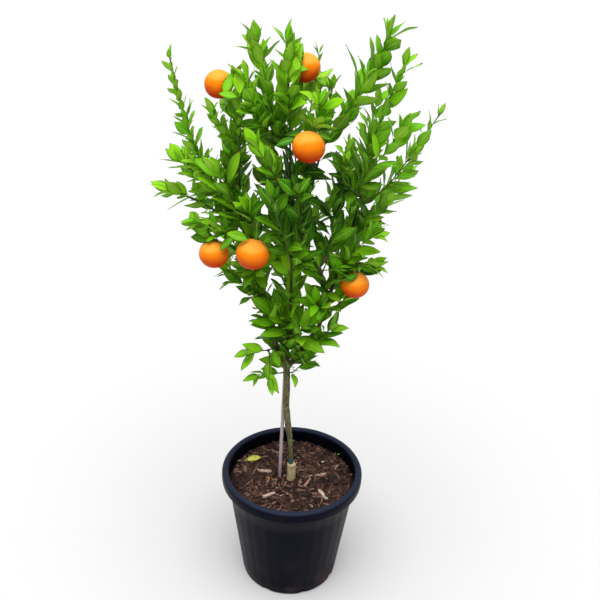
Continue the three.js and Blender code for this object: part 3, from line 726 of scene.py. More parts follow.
def fruitAxis(name):
    # the middle of a fruit, and the way from there to its stalk end
    bm = mergedCopy(name)
    poles = [v.co.copy() for v in bm.verts if len(v.link_edges) > 8]      # its two ends alone
    bm.free()
    middle = (poles[0] + poles[1]) / 2
    nearest = [min((p - pole).length for p in twigPoints) for pole in poles]
    return middle, poles[nearest.index(min(nearest))] - middle


def finishLeaf(foliage, leaf, axis, luck):
    # no two leaves sit quite alike: each is turned and scaled a little
    yaw = Matrix.Rotation(luck.uniform(-crown["yaw"], crown["yaw"]), 3, leaf["facing"])
    side = leaf["facing"].cross(leaf["direction"])
    turned = Matrix.Rotation(luck.uniform(*crown["pitch"]), 3, side) @ yaw
    leaf["direction"] = turned @ leaf["direction"]
    leaf["facing"] = turned @ leaf["facing"]
    leaf["length"] *= luck.uniform(*crown["spread"])
    leaf["luck"] = luck.random()
    middle = leaf["base"] + leaf["direction"] * leaf["length"] * crown["toneAt"]
    leaf["tone"] = leaf.get("tone", toneOf(middle, axis, luck))
    foliage.addLeaf(leaf, luck)


# a leaf's colours: each pair runs over the leaves by luck, and from deep to young by where they grow; deep is
# painted shade in the crown's core, partly the darker colour of older leaves, and young is lit as well as
# young
leafLook = dict(deep=("174202", "347405"), young=("60aa03", "88c612"), veins="92c63c", scorch="8a5a26",
                deepUnder=("1e460a", "38680f"), youngUnder=("72b618", "90c62c"), veinsUnder="a9d060",
                veinCount=62, veinSlant=13)


def leafParts(made):
    # how far from the midrib, how far along, the leaf's own luck, and the fine veins' wave
    place = made.attribute("leafPlace", out="Vector")
    side, share, luck = abs(made.part(place, "X")), made.part(place, "Y"), made.part(place, "Z")
    return side, share, luck, made.ripple(share * leafLook["veinCount"] - side * leafLook["veinSlant"])


def leafUpperShader():
    made = Shader("leaf_upper", Specular_IOR_Level=0.12)
    side, share, luck, wave = leafParts(made)
    patch = made.noise(made.place(), 60, 3)
    deep = made.mix(luck, *map(rgb, leafLook["deep"]))
    young = made.mix(luck, *map(rgb, leafLook["young"]))
    tone = made.attribute("leafTone") + (patch - 0.5) * 0.4
    # painted shade: the tone takes leaves in the crown's core to the deep colours and those at its edge to
    # the lit ones
    colour = made.mix(made.between(tone, 0.0, 0.9), deep, young)
    veins = made.between(wave, 0.75, 1.0) * 0.22
    rib = made.between(side, 0.03, 0.12, 1, 0) * 0.55
    colour = made.mix(rib + veins, colour, rgb(leafLook["veins"]))
    scorch = made.between(share + patch * 0.12, 0.93, 1.02) * made.between(luck, 0.8, 0.9)
    colour = made.mix(scorch, colour, rgb(leafLook["scorch"]))
    return made.finished(colour, 0.54 - patch * 0.14, veins * -1 - rib + patch * 0.15, 0.0006, 0.6)


def leafUnderShader():
    made = Shader("leaf_underside", Specular_IOR_Level=0.12)
    side, _, luck, wave = leafParts(made)
    deep = made.mix(luck, *map(rgb, leafLook["deepUnder"]))
    young = made.mix(luck, *map(rgb, leafLook["youngUnder"]))
    # painted shade: the tone darkens the undersides in the crown's core as on the upper sides
    colour = made.mix(made.attribute("leafTone"), deep, young)
    lines = made.between(wave, 0.7, 1.0) * 0.25 + made.between(side, 0.02, 0.14, 1, 0) * 0.6
    colour = made.mix(lines, colour, rgb(leafLook["veinsUnder"]))
    rough = 0.62 + (made.noise(made.place(), 240, 3) - 0.5) * 0.2
    return made.finished(colour, rough, lines, 0.0006, 0.7)


stemLook = dict(green=("3c5a14", "5f8a24"), brown=("2f2410", "4d4220"), greenFrom=0.75, greenFull=1.25)


def stemShader():
    made = Shader("green_stem")
    spot = made.place()
    streak = made.noise(made.scaled(spot, (1, 1, 0.2)), 420, 4)
    rise = made.part(spot, "Z") + streak * 0.12
    height = made.between(rise, stemLook["greenFrom"], stemLook["greenFull"])
    green = made.mix(streak, *map(rgb, stemLook["green"]))
    brown = made.mix(streak, *map(rgb, stemLook["brown"]))
    return made.finished(made.mix(height, brown, green), 0.5 + streak * 0.25, streak, 0.0004, 0.7)


# the knobs and the grain are drawn out upwards by the two stretches
wood = dict(voxel=0.0013, smoothing=14, knobs=0.0009, grain=0.00035, knobSize=70.0, grainSize=260.0,
            knobStretch=0.5, grainStretch=0.18, skin=0.0003, bark=("4a4a2a", "8b8a5e"), patches="6d6040",
            cracks="2c2616", knots="1d190f", limbs=("2b2412", "4c4a22"), limbsFrom=0.62, limbsFull=0.86)


def barkShader():
    made = Shader("trunk_bark", Specular_IOR_Level=0.3)
    spot = made.place()
    streak = made.noise(made.scaled(spot, (1, 1, 0.16)), 330, 6, 0.65)
    patch = made.noise(made.scaled(spot, (1, 1, 0.4)), 60, 4)
    cracks = made.cells(made.scaled(spot, (1, 1, 0.22)), 260, "DISTANCE_TO_EDGE")
    crack = made.between(cracks, 0.02, 0.13, 1, 0)
    colour = made.mix(made.between(streak, 0.3, 0.7), *map(rgb, wood["bark"]))
    colour = made.mix(made.between(patch, 0.45, 0.65), colour, rgb(wood["patches"]))
    colour = made.mix(crack * 0.6, colour, rgb(wood["cracks"]))
    knots = made.between(made.cells(made.scaled(spot, (1, 1, 0.6)), 85), 0.1, 0.24, 1, 0)
    colour = made.mix(knots * 0.8, colour, rgb(wood["knots"]))
    height = made.between(made.part(spot, "Z") + patch * 0.1, wood["limbsFrom"], wood["limbsFull"])
    upper = made.mix(made.between(streak, 0.35, 0.65), *map(rgb, wood["limbs"]))
    colour = made.mix(height, colour, upper)
    return made.finished(colour, 0.72 + streak * 0.2, streak + patch * 0.7 - crack * 0.8, 0.0011, 0.8)


def makeWood():
    bm = mergedCopy("trunk_and_limbs")
    mesh = evaluated(bm, ("REMESH", {"mode": "VOXEL", "voxel_size": wood["voxel"]}),
                     ("SMOOTH", {"factor": 0.5, "iterations": wood["smoothing"]}))
    bm.free()
    normals = [v.normal.copy() for v in mesh.vertices]
    for vert, normal in zip(mesh.vertices, normals):
        x, y, z = vert.co
        low = Vector((x, y, z * wood["knobStretch"])) * wood["knobSize"]
        fine = Vector((x, y, z * wood["grainStretch"])) * wood["grainSize"]
        push = wood["knobs"] * noise.noise(low) + wood["grain"] * noise.noise(fine)
        vert.co += normal * (push + wood["skin"])
    addPiece("trunk_bark", smoothed(mesh), [barkShader()], ["trunk_and_limbs"])
    print("trunk and limbs:", len(mesh.polygons), "faces")


# dimple and base are how deep the two ends dip, each with its reach in radians; the peel's three colours are
# painted shade low on the fruit, painted light high on it and a painted highlight at the top
fruit = dict(sides=72, rings=48, dimple=0.075, dimpleReach=0.2, base=0.03, baseReach=0.16,
             lumps=0.012, lumpSize=1.7, ribs=0.006, ribCount=10, endRise=0.95,
             deep="c03000", ripe="fe900a", topHighlight="ffb450", pits="c84800", flecks="ffa820")
# the calyx in metres: its rings' radius and height, where a lobe ring's radius is a share of the lobe
calyx = dict(sides=40, lobes=5, heart=0.0034, lobe=0.0021, roundness=0.8, cup=0.35, cupReach=0.0055,
             colours=("4a6420", "8aa04a"),
             heartRings=((0.0008, 0.0022), (0.0024, 0.0017)),
             lobeRings=((0.5, 0.0010), (1.0, 0.0005), (0.99, 0.0), (0.5, 0.0002)))


def peelShader():
    made = Shader("peel", Specular_IOR_Level=0.08)
    spot = made.place()
    pores = made.cells(spot, 620)
    pit = made.between(pores, 0.1, 0.42, 1, 0)
    patch = made.noise(spot, 38, 4)
    fine = made.noise(spot, 300, 3)
    # painted shade and light: the peel goes from the deep colour low on the fruit, its painted shade, to the
    # lit colour high on it, with a painted highlight near the top
    rise = made.between(made.attribute("peelRise") + (patch - 0.5) * 0.3, 0.12, 0.9)
    colour = made.mix(rise, rgb(fruit["deep"]), rgb(fruit["ripe"]))
    colour = made.mix(made.between(rise, 0.8, 1.0) * 0.45, colour, rgb(fruit["topHighlight"]))
    colour = made.mix(pit * 0.35, colour, rgb(fruit["pits"]))
    colour = made.mix(made.between(fine, 0.6, 0.8) * 0.25, colour, rgb(fruit["flecks"]))
    return made.finished(colour, 0.36 + patch * 0.1 + pit * 0.12, fine * 0.3 - pit, 0.0005, 0.7)


def calyxShader():
    made = Shader("calyx", Roughness=0.65)
    grain = made.noise(made.place(), 700, 4)
    made.feed("Base Color", made.mix(grain, *map(rgb, calyx["colours"])))
    made.bump(grain, 0.0004, 0.8)
    return made.material


def makeCalyx(name, seat, turn, green):
    # a five-lobed star pressed into the dimple
    points = []
    rings = [(ring, False) for ring in calyx["heartRings"]]
    rings += [(ring, True) for ring in calyx["lobeRings"]]
    for (reach, height), lobed in rings:
        for k in range(calyx["sides"]):
            a = math.tau * k / calyx["sides"]
            swell = max(0, math.cos(calyx["lobes"] * a)) ** calyx["roundness"]
            out = reach * (calyx["heart"] + calyx["lobe"] * swell) if lobed else reach
            cup = height + (calyx["cup"] * out * out / calyx["cupReach"] if lobed else 0)
            points.append(seat + turn @ Vector((out * math.cos(a), out * math.sin(a), cup)))
    star = meshOf(name + "_calyx", points, latheFaces(len(rings), calyx["sides"]))
    addPiece(name + "_calyx", star, [green])


def makeFruit():
    peel, green = peelShader(), calyxShader()
    for name in named("mandarin"):
        middle, stalk = fruitAxis(name)
        axis = stalk.normalized()
        halfHeight = stalk.length / fruit["endRise"]
        low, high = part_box(name)
        radius = max(high - low) / 2
        turn = axis.to_track_quat("Z", "Y")
        seed = sum(map(ord, name))

        def shape(point, ring, angle):
            way = point.normalized()
            lump = noise.noise(way * fruit["lumpSize"] + Vector((seed, 0, 0))) * fruit["lumps"]
            rib = math.cos(fruit["ribCount"] * angle) * fruit["ribs"] * max(0, way.z) ** 2
            return middle + turn @ (point * (1 + lump + rib - fruit["lumps"]))

        profile = []
        for ring in range(fruit["rings"] + 1):
            a = math.pi * (ring / fruit["rings"] - 0.5)
            top = fruit["dimple"] * math.exp(-((math.pi / 2 - a) / fruit["dimpleReach"]) ** 2)
            foot = fruit["base"] * math.exp(-((a + math.pi / 2) / fruit["baseReach"]) ** 2)
            height = halfHeight * math.sin(a) * (1 - top - foot)
            profile.append((max(radius * math.cos(a), 1e-5), height))
        points = lathePoints(profile, fruit["sides"], shape)
        skin = meshOf(name + "_peel", points, latheFaces(len(profile), fruit["sides"]))
        # the height on the fruit, which sets the peel's painted shade and highlight
        paint(skin, "peelRise", [(p.z - low.z) / (high.z - low.z) for p in points])
        addPiece(name + "_peel", skin, [peel], [name])
        makeCalyx(name, middle + axis * halfHeight * (1 - fruit["dimple"]), turn, green)
    print("fruit made")


# the pot in metres: the wall is moulded with shallow ribs, and steps out just under the rolled rim, whose
# crest gets a painted highlight
pot = dict(sides=192, wall=0.0026, ribs=32, ribDepth=0.0006, rollRadius=0.0085,
           step=0.0018, stepDrop=0.008, moulding=(0.0125, 0.016, 0.0172), mouldingOut=0.0004,
           footRings=(0.5, 0.93), footEase=0.0006, levels=(0.03, 0.06, 0.1, 0.14, 0.18, 0.215),
           insideLevels=(0.2, 0.12, 0.03), floorTop=0.006, centre=0.002,
           rollStep=0.002, edgeAbove=0.003, rimDepth=0.04, mouldingRise=0.0005, stepRise=0.0012, crease=0.001,
           lip=((0.007, 0.0), (0.003, 0.0008), (0.0007, 0.004), (0.0, 0.009)),      # in from the rim, up
           rollTurn=(8, 172, 11), insideEase=(0.0012, 0.016),
           drains=8, drainWidth=0.016, drainTop=0.0115, drainLow=0.001, drainDepth=0.03, drainOut=0.001,
           drainTurn=0.4, colours=("020308", "060710"), dust="4a3c3a", splash="6b5d50", rimHighlight="262b3a",
           rimHighlightFrom=0.287, rimHighlightFull=0.2945)


def potShader():
    made = Shader("pot_plastic", Specular_IOR_Level=0.07, Specular_Tint=(0.45, 0.5, 1.0, 1.0))
    spot = made.place()
    haze = made.noise(spot, 14, 5)
    fine = made.noise(spot, 900, 2)
    scratch = made.noise(made.scaled(spot, (1, 1, 0.12)), 210, 3)
    height = made.part(spot, "Z")
    colour = made.mix(haze, *map(rgb, pot["colours"]))
    dust = made.between(haze, 0.5, 0.72) * made.between(height, 0.01, 0.12, 1, 0.06)
    colour = made.mix(dust * 0.7, colour, rgb(pot["dust"]))
    splash = made.between(made.noise(spot, 120, 4), 0.66, 0.78) * made.between(height, 0.0, 0.07, 1, 0)
    colour = made.mix(splash * 0.4, colour, rgb(pot["splash"]))
    # painted highlight: the rim's crest is painted a lighter blue-grey, a little uneven with the scratch
    # noise
    rimHighlight = made.between(height, pot["rimHighlightFrom"], pot["rimHighlightFull"]) * (0.6 + scratch * 0.5)
    colour = made.mix(rimHighlight, colour, rgb(pot["rimHighlight"]))
    rough = 0.3 + haze * 0.14 + dust * 0.35 + scratch * 0.08
    return made.finished(colour, rough, fine * 0.4 + scratch * 0.3, 0.0003, 0.5)


def potOutline():
    # radius and height from the middle of the foot, up the wall, over the rim and down inside
    low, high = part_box("pot")
    rim = (high.x - low.x) / 2
    top = high.z
    rings = {}
    for vert in nodes["pot"].data.vertices:
        key = round(vert.co.z, 3)      # to the millimetre
        rings[key] = max(rings.get(key, 0), math.hypot(vert.co.x, vert.co.y))
    foot = rings[0.0]
    edge = min(z for z in rings if z > pot["edgeAbove"])
    under = min(z for z in rings if z > top - pot["rimDepth"])
    slope = (rings[under] - pot["step"] - rings[edge]) / (under - edge)

    def wallAt(z):
        return rings[edge] + slope * (z - edge)

    def inner(z):
        return wallAt(z) - pot["wall"]

    rollLow = under + pot["rollStep"]
    band = under - pot["stepDrop"]
    lower, upper, ledge = pot["moulding"]
    ease, easeDown = pot["insideEase"]
    roll = pot["rollRadius"]
    outline = [(pot["centre"], 0.0)] + [(foot * share, 0.0) for share in pot["footRings"]]
    outline += [(foot, pot["footEase"])] + [(wallAt(z), z) for z in (edge, lower, upper)]
    outline += [(wallAt(upper + pot["mouldingRise"]) + pot["mouldingOut"], ledge)]
    outline += [(wallAt(z), z) for z in (*pot["levels"], band - pot["crease"])]
    outline += [(wallAt(band) + pot["step"], band + pot["stepRise"])]
    outline += [(wallAt(under) + pot["step"], rollLow - pot["crease"])]
    outline += [(rim - inward, rollLow + rise) for inward, rise in pot["lip"]]
    outline += [(rim, top - roll - pot["crease"])]
    outline += arc((rim - roll, top - roll), roll, *pot["rollTurn"])
    outline += [(inner(under) + ease, top - easeDown), (inner(under), under)]
    outline += [(inner(z), z) for z in (*pot["insideLevels"], pot["floorTop"])]
    return outline + [(pot["centre"], pot["floorTop"])], foot


def makePot():
    outline, foot = potOutline()
    flank = range(8, 9 + len(pot["levels"]))      # the rings between the moulding and the step

    def shape(point, index, angle):
        if index in flank:
            wave = math.cos(pot["ribs"] * angle)
            shrink = 1 - pot["ribDepth"] * (0.5 - 0.5 * wave) / math.hypot(point.x, point.y)
            return Vector((point.x * shrink, point.y * shrink, point.z))
        return point

    points = lathePoints(outline, pot["sides"], shape)
    bm = bmesh.new()
    bm.from_mesh(meshOf("pot_raw", points, latheFaces(len(outline), pot["sides"])))
    bmesh.ops.recalc_face_normals(bm, faces=bm.faces)
    mesh = bpy.data.meshes.new("pot_shell")
    bm.to_mesh(mesh)
    bm.free()
    cutDrains(addPiece("pot_shell", smoothed(mesh), [potShader()], ["pot"]), foot)
    print("pot made")


def cutDrains(piece, foot):
    # slots through the foot of the wall, where the frame's pot has them
    bm = bmesh.new()
    for k in range(pot["drains"]):
        angle = math.tau * (k + pot["drainTurn"]) / pot["drains"]
        made = bmesh.ops.create_cube(bm, size=1)["verts"]
        size = (pot["drainDepth"], pot["drainWidth"], pot["drainTop"] - pot["drainLow"])
        middle = Vector((foot + pot["drainOut"], 0, (pot["drainTop"] + pot["drainLow"]) / 2))
        place = Matrix.Rotation(angle, 4, "Z") @ Matrix.Translation(middle) @ Matrix.Diagonal((*size, 1))
        bmesh.ops.transform(bm, matrix=place, verts=made)
    cutterMesh = bpy.data.meshes.new("drains")
    bm.to_mesh(cutterMesh)
    bm.free()
    cutter = placed("drains", cutterMesh)
    cut = piece.modifiers.new("drains", "BOOLEAN")
    cut.object = cutter
    cut.operation = "DIFFERENCE"
    cut.solver = "EXACT"
    graph = bpy.context.evaluated_depsgraph_get()
    result = bpy.data.meshes.new_from_object(piece.evaluated_get(graph))
    piece.modifiers.clear()
    piece.data = result
    bpy.data.objects.remove(cutter)


# the mulch: chips run from shortest to longest, most of them small, a few pale or tan; lengths in metres
mulch = dict(rings=56, sides=150, centre=0.0004, drop=0.003, bevel=(0.002, 0.012),
             edgeFrom=0.9, edgeFall=0.003, lumps=0.0035, lumpSize=38, grit=0.0016, gritSize=160,
             chips=2300, heaps=3, seed=7, longest=0.058, shortest=0.006, smallOnes=2.1,
             widths=(0.002, 0.009), thickness=(0.001, 0.0028), raised=(0.0005, 0.0035),
             wallGap=0.001, lean=0.34, leanAcross=0.7,
             paleShare=0.025, pale=(0.86, 1.0), paleWidth=0.45, tanShare=0.2, tan=(0.62, 0.84),
             brown=(0.1, 0.7), patchSize=14, patchTone=(0.8, 0.6),
             soil=("0e0806", "281810", "4e3226"), damp="150d09",
             keepOff=((-0.002, -0.004, 0.0125), (-0.029, 0.004, 0.005)))      # stub and stake
# one chip: how blunt its ends and sides are, and how uneven; then the tones from dark to pale
chip = dict(corners=8, blunt=(0.55, 0.7), lengths=(0.86, 1.06), widths=(0.82, 1.08), taper=0.25,
            heights=(0.7, 1.1), toneLuck=0.06, bends=(-0.4, 0.3),
            tones=((0.0, "180d09"), (0.35, "392219"), (0.62, "5c3b2e"),
                   (0.82, "94705f"), (0.93, "bb9a82"), (1.0, "dfd0b8")), grain="0e0805", grainShare=0.65)
# the four larger chips, a lump of amber resin, and a seedling that has come up at the edge
bigChip = dict(rise=0.003, width=0.008, stretch=1.1, tone=(0.9, 1.0), bends=(-0.06, 0.06))
resin = dict(at=(-0.055, -0.008), rise=0.004, turn=0.2, size=(0.016, 0.009, 0.006), tone=0.5,
             colour="a87430", rough=0.45)
seedling = dict(at=(0.119, 0.098), rise=0.001, turns=(0.3, 2.2, 4.1, 5.4), lift=0.55, length=0.015,
                colour="6fb01e")


def bedHeight(x, y, level):
    spot = Vector((x, y, 0))
    lump = noise.noise(spot * mulch["lumpSize"]) * mulch["lumps"]
    return level + (lump + noise.noise(spot * mulch["gritSize"]) * mulch["grit"])


def soilShader():
    made = Shader("potting_mix", Specular_IOR_Level=0.2)
    spot = made.place()
    crumb = made.noise(spot, 330, 6, 0.7)
    damp = made.noise(spot, 25, 3)
    colour = made.ramp(crumb, list(zip((0.3, 0.5, 0.7), map(rgb, mulch["soil"]))))
    colour = made.mix(made.between(damp, 0.4, 0.7) * 0.5, colour, rgb(mulch["damp"]))
    return made.finished(colour, 0.85 + crumb * 0.1, crumb, 0.003, 0.9)


def chipShader():
    made = Shader("bark_chips", Specular_IOR_Level=0.3)
    spot = made.place()
    tone = made.attribute("chipTone")
    grain = made.noise(made.scaled(spot, (0.35, 1, 1)), 520, 5, 0.65)
    fleck = made.noise(spot, 1100, 2)
    base = made.ramp(tone, [(at, rgb(code)) for at, code in chip["tones"]])
    dark = made.mix(chip["grainShare"], base, rgb(chip["grain"]))
    colour = made.mix(made.between(grain, 0.38, 0.62), dark, base)
    return made.finished(colour, 0.75 + fleck * 0.2, grain + fleck * 0.4, 0.0009, 0.9)


class ChipHeap:
    # the points and faces of many chips
    def __init__(self):
        self.points = []
        self.faces = []
        self.tones = []

    def add(self, centre, turn, size, tone, luck, bends=chip["bends"]):
        # a torn slab: an uneven outline, a top and a bottom
        length, width, thick = size
        corners = chip["corners"]
        bluntEnd, bluntSide = chip["blunt"]
        start = len(self.points)
        bend = luck.uniform(*bends)
        for layer in (-0.5, 0.5):
            for k in range(corners):
                a = math.tau * (k + 0.5) / corners
                x = math.copysign(abs(math.cos(a)) ** bluntEnd, math.cos(a)) * length / 2
                y = math.copysign(abs(math.sin(a)) ** bluntSide, math.sin(a)) * width / 2
                x *= luck.uniform(*chip["lengths"])
                y *= luck.uniform(*chip["widths"]) * (1 - chip["taper"] * layer)
                z = layer * thick * luck.uniform(*chip["heights"]) + bend * x * x / length
                self.points.append(centre + turn @ Vector((x, y, z)))
                shade = tone + luck.uniform(-chip["toneLuck"], chip["toneLuck"])
                self.tones.append(min(1, max(0, shade)))
        self.faces.append(tuple(reversed(range(start, start + corners))))
        self.faces.append(tuple(range(start + corners, start + 2 * corners)))
        for k in range(corners):
            n = (k + 1) % corners
            self.faces.append((start + k, start + n, start + corners + n, start + corners + k))

    def toMesh(self, name):
        made = meshOf(name, self.points, self.faces, smooth=False)
        paint(made, "chipTone", self.tones)
        return made


def makeBed(low, brim, level):
    # the uneven top of the mulch, with sides that slope in to the pot's floor
    outline = [(mulch["centre"], level)]
    outline += [(brim * k / mulch["rings"], level) for k in range(1, mulch["rings"] + 1)]
    lowest = [v.co for v in nodes["potting_mix"].data.vertices if v.co.z < low.z + 0.001]
    inward, down = mulch["bevel"]
    outline += [(brim - inward, level - down), (max(math.hypot(p.x, p.y) for p in lowest), low.z)]

    def shape(point, index, angle):
        if index <= mulch["rings"]:
            past = (index / mulch["rings"] - mulch["edgeFrom"]) / (1 - mulch["edgeFrom"])
            fall = mulch["edgeFall"] * max(0, past)
            return Vector((point.x, point.y, bedHeight(point.x, point.y, level) - fall))
        return point

    points = lathePoints(outline, mulch["sides"], shape)
    faces = [tuple(reversed(face)) for face in latheFaces(len(outline), mulch["sides"])]
    addPiece("mulch_bed", meshOf("mulch_bed", points, faces), [soilShader()], ["potting_mix"])


def scatterChips(brim, level, luck, shader):
    # loose chips all over the bed, clear of the wall, the stub and the stake
    heaps = [ChipHeap() for k in range(mulch["heaps"])]
    for k in range(mulch["chips"]):
        size = luck.random() ** mulch["smallOnes"]
        length = mulch["shortest"] + (mulch["longest"] - mulch["shortest"]) * size
        width = min(length, luck.uniform(*mulch["widths"]))
        away = math.sqrt(luck.random()) * (brim - length / 2 - mulch["wallGap"])
        angle = luck.uniform(0, math.tau)
        x, y = away * math.cos(angle), away * math.sin(angle)
        kind = luck.random()
        if kind < mulch["paleShare"]:
            tone, width = luck.uniform(*mulch["pale"]), width * mulch["paleWidth"]
        elif kind < mulch["paleShare"] + mulch["tanShare"]:
            tone = luck.uniform(*mulch["tan"])
        else:
            middle, swing = mulch["patchTone"]
            patch = noise.noise(Vector((x, y, 3)) * mulch["patchSize"])
            tone = luck.uniform(*mulch["brown"]) * (middle + swing * patch)
        turn = Matrix.Rotation(luck.uniform(0, math.tau), 3, "Z")
        turn = turn @ Matrix.Rotation(luck.gauss(0, mulch["lean"]), 3, "X")
        turn = turn @ Matrix.Rotation(luck.gauss(0, mulch["lean"] * mulch["leanAcross"]), 3, "Y")
        if any(math.hypot(x - atX, y - atY) < clear + length / 2
               for atX, atY, clear in mulch["keepOff"]):
            continue
        z = bedHeight(x, y, level) + luck.uniform(*mulch["raised"])
        thick = luck.uniform(*mulch["thickness"])
        heaps[k % mulch["heaps"]].add(Vector((x, y, z)), turn, (length, width, thick), tone, luck)
    for k, heap in enumerate(heaps):
        addPiece(f"loose_chips_{k + 1}", heap.toMesh(f"loose_chips_{k + 1}"), [shader])


def tearBigChips(luck, shader):
    # the four larger chips of the frame
    for name in named("bark_chip"):
        bm = mergedCopy(name)
        longest = max((e for e in bm.edges), key=lambda e: e.calc_length())
        way = longest.verts[1].co - longest.verts[0].co
        bm.free()
        low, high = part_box(name)
        size = (way.length * bigChip["stretch"], bigChip["width"], high.z - low.z)
        centre = (low + high) / 2 + upward * bigChip["rise"]
        turn = Matrix.Rotation(math.atan2(way.y, way.x), 3, "Z")
        heap = ChipHeap()
        heap.add(centre, turn, size, luck.uniform(*bigChip["tone"]), luck, bigChip["bends"])
        addPiece(name + "_torn", heap.toMesh(name + "_torn"), [shader], [name])


def makeResin(level, luck):
    amber = Shader("resin_chip", Base_Color=rgb(resin["colour"]), Roughness=resin["rough"])
    amber.bump(amber.noise(amber.place(), 300), 0.001)
    heap = ChipHeap()
    turn = Matrix.Rotation(resin["turn"], 3, "Z")
    heap.add(Vector((*resin["at"], level + resin["rise"])), turn, resin["size"], resin["tone"], luck)
    addPiece("resin_lump", heap.toMesh("resin_lump"), [amber.material])


def makeSeedling(level, luck):
    green = Shader("seedling_leaf", Base_Color=rgb(seedling["colour"]), Specular_IOR_Level=0.2)
    green.feed("Roughness", 0.4 + green.noise(green.place(), 400) * 0.2)
    foliage = Foliage()
    base = Vector((*seedling["at"], level + seedling["rise"]))
    for turn in seedling["turns"]:
        direction = Vector((math.cos(turn), math.sin(turn), seedling["lift"])).normalized()
        facing = (upward - direction * direction.z).normalized()
        foliage.addLeaf(dict(base=base, direction=direction, facing=facing, length=seedling["length"],
                             luck=0.5, tone=1.0), luck)
    addPiece("seedling_leaves", foliage.toMesh("seedling_leaves"), [green.material] * 2)


def makeMulch():
    low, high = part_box("potting_mix")
    brim = (high.x - low.x) / 2
    level = high.z - mulch["drop"]
    luck = random.Random(mulch["seed"])
    makeBed(low, brim, level)
    shader = chipShader()
    scatterChips(brim, level, luck, shader)
    tearBigChips(luck, shader)
    makeResin(level, luck)
    makeSeedling(level, luck)
    print("mulch and chips made")


fallen = dict(rise=0.004, luck=0.3, tone=0.6, seed=3,
              dry=("b9b845", "8f9a35"), blotch="8a6a30", rib="d8d48a")


def fallenLeafShader():
    made = Shader("fallen_leaf_dry", Specular_IOR_Level=0.3)
    side = abs(made.part(made.attribute("leafPlace", out="Vector"), "X"))
    blotch = made.noise(made.place(), 160, 5)
    colour = made.mix(made.between(blotch, 0.35, 0.65), *map(rgb, fallen["dry"]))
    colour = made.mix(made.between(blotch, 0.62, 0.75), colour, rgb(fallen["blotch"]))
    rib = made.between(side, 0.03, 0.14, 1, 0)
    colour = made.mix(rib * 0.5, colour, rgb(fallen["rib"]))
    return made.finished(colour, 0.5 + blotch * 0.25, rib + blotch * 0.4, 0.0008, 0.7)


def makeFallenLeaf():
    bm = mergedCopy("fallen_leaf")
    leaf = wedgesIn(bm)[0][0]
    bm.free()
    leaf.update(luck=fallen["luck"], tone=fallen["tone"], base=leaf["base"] + upward * fallen["rise"])
    foliage = Foliage()
    foliage.addLeaf(leaf, random.Random(fallen["seed"]))
    mesh = foliage.toMesh("fallen_leaf_dry")
    addPiece("fallen_leaf_dry", mesh, [fallenLeafShader()] * 2, ["fallen_leaf"])
    print("fallen leaf made")


def roughRod(name, low, high, radiusAt, look):
    # an upright or leaning rod with an uneven skin, from the middle of its foot to its head
    axis = high - low
    turn = axis.to_track_quat("Z", "Y")
    sides, rings = look["sides"], look["rings"]
    points = []
    for ring in range(rings + 1):
        share = ring / rings
        radius = radiusAt(share)
        for k in range(sides):
            a = math.tau * k / sides
            spot = low + axis * share + turn @ Vector((radius * math.cos(a), radius * math.sin(a), 0))
            grain = Vector((spot.x, spot.y, spot.z * look["stretch"])) * look["grain"]
            out = (spot - low - axis * share).normalized()
            points.append(spot + out * noise.noise(grain) * look["rough"])
    return meshOf(name, points, latheFaces(rings + 1, sides))


def endsOf(node, sides):
    # the middles of a rod's two end faces
    bm = mergedCopy(node)
    points = sorted((v.co.copy() for v in bm.verts), key=lambda p: p.z)
    bm.free()
    foot = sum(points[:sides], Vector()) / sides
    head = sum(points[-sides:], Vector()) / sides
    return foot, head


# the stake and the rootstock stub are rods; grain is how fine the skin is, rough how deep, in metres
stake = dict(radius=0.0039, headRadius=0.0034, headShare=0.995, sides=24, rings=120, rough=0.0005,
             grain=300, stretch=0.3, cadSides=8, colours=("8a7878", "c9babb"), stain="7a6a5c",
             foot="6b5246", footFrom=0.28, footTo=0.33)
stub = dict(sides=48, rings=70, rough=0.0012, grain=140, stretch=0.3, cadSides=12,
            taper=0.08, rounding=0.12, roundFrom=0.97, inset=0.98,
            colours=("93835c", "cbbb92"), stain="7d6a45", specks="4c3c26")
tape = dict(colours=("12332f", "2a625a"), wraps=1900)


def stakeShader():
    made = Shader("stake_wood", Specular_IOR_Level=0.3)
    spot = made.place()
    grain = made.noise(made.scaled(spot, (1, 1, 0.06)), 500, 5, 0.6)
    stain = made.noise(spot, 30, 4)
    colour = made.mix(grain, *map(rgb, stake["colours"]))
    height = made.part(spot, "Z") + stain * 0.03
    foot = made.between(height, stake["footFrom"], stake["footTo"], 1, 0)
    colour = made.mix(foot * 0.5, colour, rgb(stake["foot"]))
    colour = made.mix(made.between(stain, 0.6, 0.75) * 0.4, colour, rgb(stake["stain"]))
    return made.finished(colour, 0.7 + grain * 0.2, grain, 0.0005, 0.8)


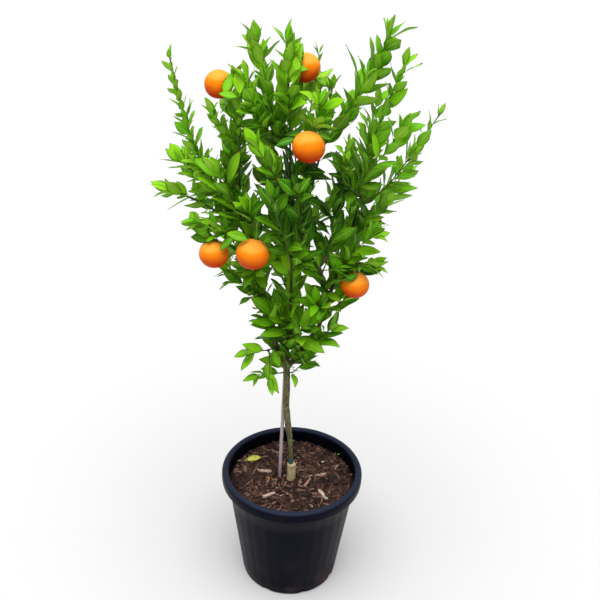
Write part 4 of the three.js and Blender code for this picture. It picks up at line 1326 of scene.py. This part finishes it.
def rootstockShader():
    made = Shader("rootstock_bark", Specular_IOR_Level=0.25)
    spot = made.place()
    grain = made.noise(made.scaled(spot, (1, 1, 0.25)), 300, 6, 0.65)
    stain = made.noise(spot, 70, 4)
    colour = made.mix(made.between(grain, 0.3, 0.7), *map(rgb, stub["colours"]))
    colour = made.mix(made.between(stain, 0.5, 0.75) * 0.6, colour, rgb(stub["stain"]))
    speck = made.between(made.cells(spot, 420), 0.12, 0.3, 1, 0)
    colour = made.mix(speck * 0.7, colour, rgb(stub["specks"]))
    return made.finished(colour, 0.78 + grain * 0.15, grain, 0.0012, 0.8)


def tapeShader():
    made = Shader("budding_tape", Specular_IOR_Level=0.5)
    spot = made.place()
    wraps = made.ripple(made.part(spot, "Z") * tape["wraps"])
    crease = made.noise(spot, 420, 3)
    colour = made.mix(crease, *map(rgb, tape["colours"]))
    return made.finished(colour, 0.35 + crease * 0.25, wraps * 0.4 + crease, 0.0006, 0.7)


def makeStems():
    def stakeRadius(share):
        return stake["radius"] if share < stake["headShare"] else stake["headRadius"]

    foot, head = endsOf("stake", stake["cadSides"])
    mesh = roughRod("stake_wood_rod", foot, head, stakeRadius, stake)
    addPiece("stake_rod", mesh, [stakeShader()], ["stake"])

    foot, head = endsOf("rootstock", stub["cadSides"])
    low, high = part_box("rootstock")
    radius = (high.x - low.x) / 2

    def stubRadius(share):
        past = max(0, (share - stub["roundFrom"]) / (1 - stub["roundFrom"]))
        return radius * (1 - stub["taper"] * share) * (1 - stub["rounding"] * past ** 2) * stub["inset"]

    mesh = roughRod("rootstock_stub", foot, head, stubRadius, stub)
    addPiece("rootstock_stub", mesh, [rootstockShader()], ["rootstock"])

    bm = mergedCopy("budding_tape")
    wrap = evaluated(bm, rounded)
    bm.free()
    addPiece("tape_wrap", smoothed(wrap), [tapeShader()], ["budding_tape"])
    print("stake, rootstock and tape made")


makeStudio()
makePot()
makeMulch()
makeFallenLeaf()
makeStems()
makeWood()
makeFruit()
makeTwigs([leafUpperShader(), leafUnderShader(), stemShader()])
